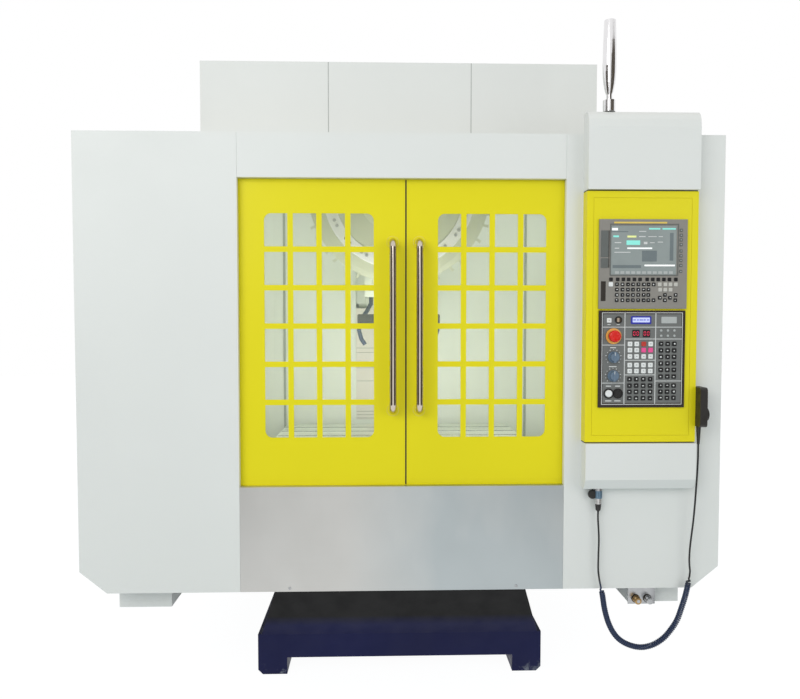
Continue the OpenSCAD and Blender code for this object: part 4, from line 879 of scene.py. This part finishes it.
def magazine_flange():
    """Clamping ring on the face of the tool disc, with a pair of screws at each gripper."""
    lean = math.radians(90 + DISC_LEAN)

    def on_disc(x, y, out):
        return at(x, DISC_Y + y * math.cos(lean) - out * math.sin(lean),
                  DISC_Z + y * math.sin(lean) + out * math.cos(lean))

    def rings(profile, steps, x=0.0, y=0.0):
        return [[on_disc(x + u, y + v, out) for u, v in circle(r, steps)] for r, out in profile]

    bm = bmesh.new()
    flange = ((256, 20.0), (257, 24.2), (259, 25.0), (301, 23.2), (303, 22.2), (304, 18.0))
    loft(bm, rings(flange, 96), True)
    piece("magazine_flange", bm, "white", "magazine")
    bm = bmesh.new()
    head = ((6.5, 23.6), (6.5, 27.5), (5.6, 28.6), (3.4, 28.6), (3.2, 25.8))
    for k in range(DISC_TOOLS):
        for side in (-SCREW_SPREAD, SCREW_SPREAD):
            a = math.radians(360 * k / DISC_TOOLS + side)
            loft(bm, rings(head, 14, SCREW_CIRCLE * math.cos(a), SCREW_CIRCLE * math.sin(a)))
    piece("magazine_screws", bm, "zinc", "magazine")


# Inner radius and height of the caps round the handles' feet
ROSETTE_R, ROSETTE_T = 12.4, 3.4


def handle_rosettes():
    """Painted caps round the feet of both door handles."""
    for side in ("left", "right"):
        low, high = corners(side + "_handle")
        face = corners(side + "_door")[0][1]
        r, x = (high[0] - low[0]) / 2, (low[0] + high[0]) / 2
        profile = ((ROSETTE_R, 0.2), (ROSETTE_R, ROSETTE_T), (r - 1.0, ROSETTE_T), (r + 0.3, 2.6),
                   (r + 0.4, 0.2))
        bm = bmesh.new()
        for z in (low[2] + r, high[2] - r):
            turned(bm, x, z, face, profile, 48, True)
        piece(side + "_handle_rosettes", bm, "yellow", side + "_leaf")


BAR_Y, BAR_Z, BAR_W, BAR_H, BAR_T = 530.0, 1376.0, 340.0, 40.0, 18.0


def manifold():
    """Coolant bar in front of the spindle housing, with short nozzles."""
    bm = bmesh.new()
    slab(bm, 0, BAR_Z, BAR_W, BAR_H, BAR_Y, BAR_T, 5.0, 2.0)
    piece("coolant_bar", bm, "black", "head")
    bm = bmesh.new()
    for x in (-140, -80, 80, 140):
        standing(bm, x, BAR_Y - BAR_T / 2, ((6, 1357), (6, 1348), (3.4, 1338), (2.4, 1337)), 16)
    piece("coolant_bar_nozzles", bm, "hose", "head")


# Heights of the dial, the selector and the two marks on the hand unit's face
DIAL_Z, SELECTOR_Z, MARKS_Z = 1052.9, 1104.8, 1129.0
# Dial scale: inner and outer radius, thickness, and count of ticks
SCALE_IN, SCALE_OUT, SCALE_T, TICKS = 23.0, 28.5, 0.9, 50


def hand_unit():
    """A graduated ring and selector marks on the right side of the hand unit."""
    low, high = corners("handset_body")
    x, y = high[0], (low[1] + high[1]) / 2

    def on_face(u, z, out):
        return at(x + out, y + u, z)

    def plate(bm, u, z, w, h, t=0.3, r=1.0):
        loft(bm, [[on_face(u + a, z + b, out) for a, b in rounded_outline(w, h, r)] for out in (0.0, t)])

    bm = bmesh.new()
    scale = ((SCALE_IN, 0), (SCALE_IN, SCALE_T), (SCALE_OUT, SCALE_T), (SCALE_OUT + 0.5, 0))
    loft(bm, [[on_face(u, DIAL_Z + v, out) for u, v in circle(r, 48)] for r, out in scale], True)
    piece("hand_unit_scale", bm, "silver")
    bm = bmesh.new()
    for i in range(TICKS):
        r, t = (25.6, 4.2) if i % 5 == 0 else (26.6, 2.2)
        c, s = circle(1.0, TICKS)[i]
        tick = [(r - t / 2, -0.3), (r + t / 2, -0.3), (r + t / 2, 0.3), (r - t / 2, 0.3)]
        loft(bm, [[on_face(p * c - q * s, DIAL_Z + p * s + q * c, out) for p, q in tick]
                  for out in (SCALE_T, SCALE_T + 0.1)])
    piece("hand_unit_ticks", bm, "key_black")
    bm = bmesh.new()
    for i in range(5):
        a = math.radians(150 - 30 * i)
        plate(bm, 17 * math.cos(a), SELECTOR_Z + 17 * math.sin(a), 3.0, 3.0)
    for u in (-27, 27):
        plate(bm, u, MARKS_Z, 9, 4)
    piece("hand_unit_marks", bm, "line")


# Cord

LEAD = ((670, -20, 717), (670, -20, 690), (672, -20, 660), (674, -20, 617), (673, -20, 561),
        (673, -20, 512), (677, -20, 480), (682, -20, 456))
COIL = ((682, -20, 456), (689.5, -20, 420), (696, -20, 379), (708, -21, 334), (726, -21, 296),
        (750, -22, 268), (784, -22, 249), (824, -23, 241), (865, -23, 249), (900, -24, 271),
        (926, -24, 300), (948, -25, 336), (965, -25, 385), (978, -25, 430), (989, -25, 488))
TAIL = ((989, -25, 488), (991.3, -25, 500), (988, -26, 525), (986, -28, 553), (987, -30, 594),
        (990, -33, 635), (994, -36, 684), (997, -40, 747), (999, -43, 805), (1001, -45, 862),
        (1001.9, -46, 905), (1001.9, -46, 951))
# Steps along the straight ends and along the coil's middle line
LEAD_STEP, COIL_STEP, TAIL_STEP = 14, 0.2, 20
CORD_DIA = 6.2
COIL_R = 7.0
COIL_PITCH = 6.9
# Pitch at the very ends of the coil, and the length over which its end turns open out to it
END_PITCH = 46.0
END_LENGTH = 26.0
TURN_STEPS = 16
# Points worked out on each stretch between two points of a route
FINE = 400


def smooth_route(points, step):
    """Evenly spaced points on a Catmull-Rom curve through the route."""
    pts = [Vector(p) for p in points]
    ends = [pts[0] * 2 - pts[1]] + pts + [pts[-1] * 2 - pts[-2]]
    fine = []
    for a, b, c, d in zip(ends, ends[1:], ends[2:], ends[3:]):
        for i in range(FINE):
            t = i / FINE
            fine.append(0.5 * (2 * b + (c - a) * t + (2 * a - 5 * b + 4 * c - d) * t * t
                               + (3 * b - a - 3 * c + d) * t ** 3))
    fine.append(pts[-1])
    out, gone = [fine[0]], 0.0
    for a, b in zip(fine, fine[1:]):
        gone += (b - a).length
        if gone >= step:
            out.append(b)
            gone = 0.0
    if (out[-1] - fine[-1]).length < step * 0.5:
        out[-1] = fine[-1]
    else:
        out.append(fine[-1])
    return out


def curled(route):
    """A helix round the route whose first and last turns open out until they lie on its middle line."""
    axis = Vector((0, 1, 0))
    length = sum((b - a).length for a, b in zip(route, route[1:]))
    points, gone, turn, due = [route[0]], 0.0, 0.0, 1
    for a, b in zip(route, route[1:]):
        step = (b - a).length
        side = (b - a).normalized().cross(axis).normalized()
        gone += step
        near = min(1.0, min(gone, length - gone) / END_LENGTH)
        turn += step / (COIL_PITCH + (END_PITCH - COIL_PITCH) * (1 - near) ** 2)
        if turn * TURN_STEPS >= due:
            r = COIL_R * math.sin(math.pi / 2 * near) ** 2
            angle = 2 * math.pi * turn
            points.append(b + r * (math.cos(angle) * side + math.sin(angle) * axis))
            due = int(turn * TURN_STEPS) + 1
    points[-1] = route[-1]
    return points


def hand_unit_cord():
    """The cord from the plug to the hand unit: straight, curled and straight again, as one spline."""
    coil = curled(smooth_route(COIL, COIL_STEP))
    route = smooth_route(LEAD, LEAD_STEP) + coil[1:] + smooth_route(TAIL, TAIL_STEP)[1:]
    points = [at(*p) for p in route]
    curve = bpy.data.curves.new("hand_unit_cord", "CURVE")
    curve.dimensions = "3D"
    curve.bevel_depth = CORD_DIA / 2 * MM
    curve.bevel_resolution = 3
    curve.use_fill_caps = True
    line = curve.splines.new("POLY")
    line.points.add(len(points) - 1)
    for spot, p in zip(line.points, points):
        spot.co = (*p, 1.0)
    line.use_smooth = True
    curve.materials.append(MATS["cord"])
    obj = bpy.data.objects.new("hand_unit_cord", curve)
    bpy.context.scene.collection.objects.link(obj)
    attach(obj, "machine")
    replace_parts(obj, "cable_lead", "cable_coil", "cable_tail")
    cord_plug()


# Stage

# Camera: place, tilt and turn in degrees, focal length in pixels of an image of the given width
EYE, TILT, TURN = (-76, -2400, 1371), -2.37, -1.60
FOCAL_PX, IMAGE_W, SENSOR_W = 707.0, 800, 36.0
SKY_LEVEL = 0.68
# Floor: half its side, the colour it throws back on the object, and how white and how bright it shows
FLOOR_SIZE, FLOOR_COLOUR, FLOOR_WHITE, FLOOR_GLOW = 14.0, (0.56, 0.64, 0.68, 1), 0.86, 1.12
WHITE_LIGHT = (1, 1, 1, 1)


def camera():
    """The photograph's view."""
    data = bpy.data.cameras.new("camera")
    data.sensor_fit = "HORIZONTAL"
    data.sensor_width = SENSOR_W
    data.lens = FOCAL_PX / IMAGE_W * SENSOR_W
    data.clip_end = 60.0
    obj = bpy.data.objects.new("camera", data)
    obj.location = at(*EYE)
    obj.rotation_euler = (math.pi / 2 + math.radians(TILT), 0, math.radians(TURN))
    bpy.context.scene.collection.objects.link(obj)
    bpy.context.scene.camera = obj


def area_light(name, place, aim, size, power):
    """A lamp that lights but isn't seen itself."""
    data = bpy.data.lights.new(name, "AREA")
    data.shape = "RECTANGLE"
    data.size, data.size_y = size
    data.energy = power
    obj = bpy.data.objects.new(name, data)
    obj.location = place
    obj.rotation_euler = (aim - place).to_track_quat("-Z", "Y").to_euler()
    obj.visible_camera = False
    bpy.context.scene.collection.objects.link(obj)


def white_to_camera(tree, lit, white, surface, level=1.0):
    """Shows white to camera, mirror and glass rays, by level, and the lit surface to all others."""
    def combine(operation, a):
        node = tree.nodes.new("ShaderNodeMath")
        node.operation = operation
        tree.links.new(a, node.inputs[0])
        return node

    path = tree.nodes.new("ShaderNodeLightPath")
    seen = path.outputs["Is Camera Ray"]
    for ray in ("Is Glossy Ray", "Is Transmission Ray"):
        either = combine("MAXIMUM", seen)
        tree.links.new(path.outputs[ray], either.inputs[1])
        seen = either.outputs[0]
    share = combine("MULTIPLY", seen)
    share.inputs[1].default_value = level
    mix = tree.nodes.new("ShaderNodeMixShader")
    for a, b in ((share.outputs[0], mix.inputs["Fac"]), (lit, mix.inputs[1]), (white, mix.inputs[2]),
                 (mix.outputs[0], surface)):
        tree.links.new(a, b)


def stage_face(name, points):
    """One flat face of the stage, with a material of its own; gives the object and the material's tree."""
    bm = bmesh.new()
    bm.faces.new([bm.verts.new(p) for p in points])
    mesh = bpy.data.meshes.new(name)
    bm.to_mesh(mesh)
    bm.free()
    mat = bpy.data.materials.new(name)
    mat.use_nodes = True
    mesh.materials.append(mat)
    obj = bpy.data.objects.new(name, mesh)
    bpy.context.scene.collection.objects.link(obj)
    return obj, mat.node_tree


def sky():
    """Even white light from all round, white to the camera too."""
    world = bpy.data.worlds.new("studio")
    bpy.context.scene.world = world
    world.use_nodes = True
    tree = world.node_tree
    soft = tree.nodes["Background"]
    soft.inputs["Color"].default_value = WHITE_LIGHT
    soft.inputs["Strength"].default_value = SKY_LEVEL
    white = tree.nodes.new("ShaderNodeBackground")
    white.inputs["Color"].default_value = WHITE_LIGHT
    white_to_camera(tree, soft.outputs[0], white.outputs[0], tree.nodes["World Output"].inputs["Surface"])


def floor():
    """Pale bluish floor that the camera sees as nearly white, with the object's shadow."""
    size = FLOOR_SIZE
    _, tree = stage_face("floor", ((-size, -size, 0), (size, -size, 0), (size, size, 0), (-size, size, 0)))
    bsdf = tree.nodes["Principled BSDF"]
    bsdf.inputs["Base Color"].default_value = FLOOR_COLOUR
    bsdf.inputs["Roughness"].default_value = 0.9
    glow = tree.nodes.new("ShaderNodeEmission")
    glow.inputs["Color"].default_value = WHITE_LIGHT
    glow.inputs["Strength"].default_value = FLOOR_GLOW
    white_to_camera(tree, bsdf.outputs[0], glow.outputs[0], tree.nodes["Material Output"].inputs["Surface"],
                    FLOOR_WHITE)


def dark_card(name, side):
    """A dark upright card beside the camera that only mirrors see, so that bright metal has an edge."""
    (x0, y0), (x1, y1), low, high = (1.15, -3.65), (3.0, -1.25), -0.2, 3.2
    obj, tree = stage_face(name, ((side * x0, y0, low), (side * x1, y1, low), (side * x1, y1, high),
                                  (side * x0, y0, high)))
    tree.nodes["Principled BSDF"].inputs["Base Color"].default_value = srgb(84, 74, 62)
    for ray in ("camera", "diffuse", "transmission", "shadow", "volume_scatter"):
        setattr(obj, "visible_" + ray, False)


def stage():
    """Sky, floor, cards and lamps; two of the lamps are the work lights inside the enclosure."""
    sky()
    floor()
    dark_card("card_left", -1)
    dark_card("card_right", 1)
    aim = at(0, 300, 1100)
    area_light("key", Vector((-2.6, -4.8, 3.1)), aim, (3.0, 2.4), 77)
    area_light("fill", Vector((3.2, -4.6, 1.9)), aim, (2.6, 2.6), 33)
    area_light("work_lamp", at(0, 180, 1080), at(0, 900, 1430), (1.4, 0.40), 8.2)
    area_light("work_lamp_high", at(0, 700, 1940), at(0, 1100, 1450), (1.8, 0.1), 2.5)


bpy.context.scene.view_settings.view_transform = "Standard"
camera()
hand_unit_cord()
stage()
dress_nodes()
operator_panel()
panel_keys()
display_unit()
air_couplings()
screws()
seals_and_seams()
inside_strips()
slot_linings()
side_joints()
magazine_flange()
handle_rosettes()
manifold()
hand_unit()
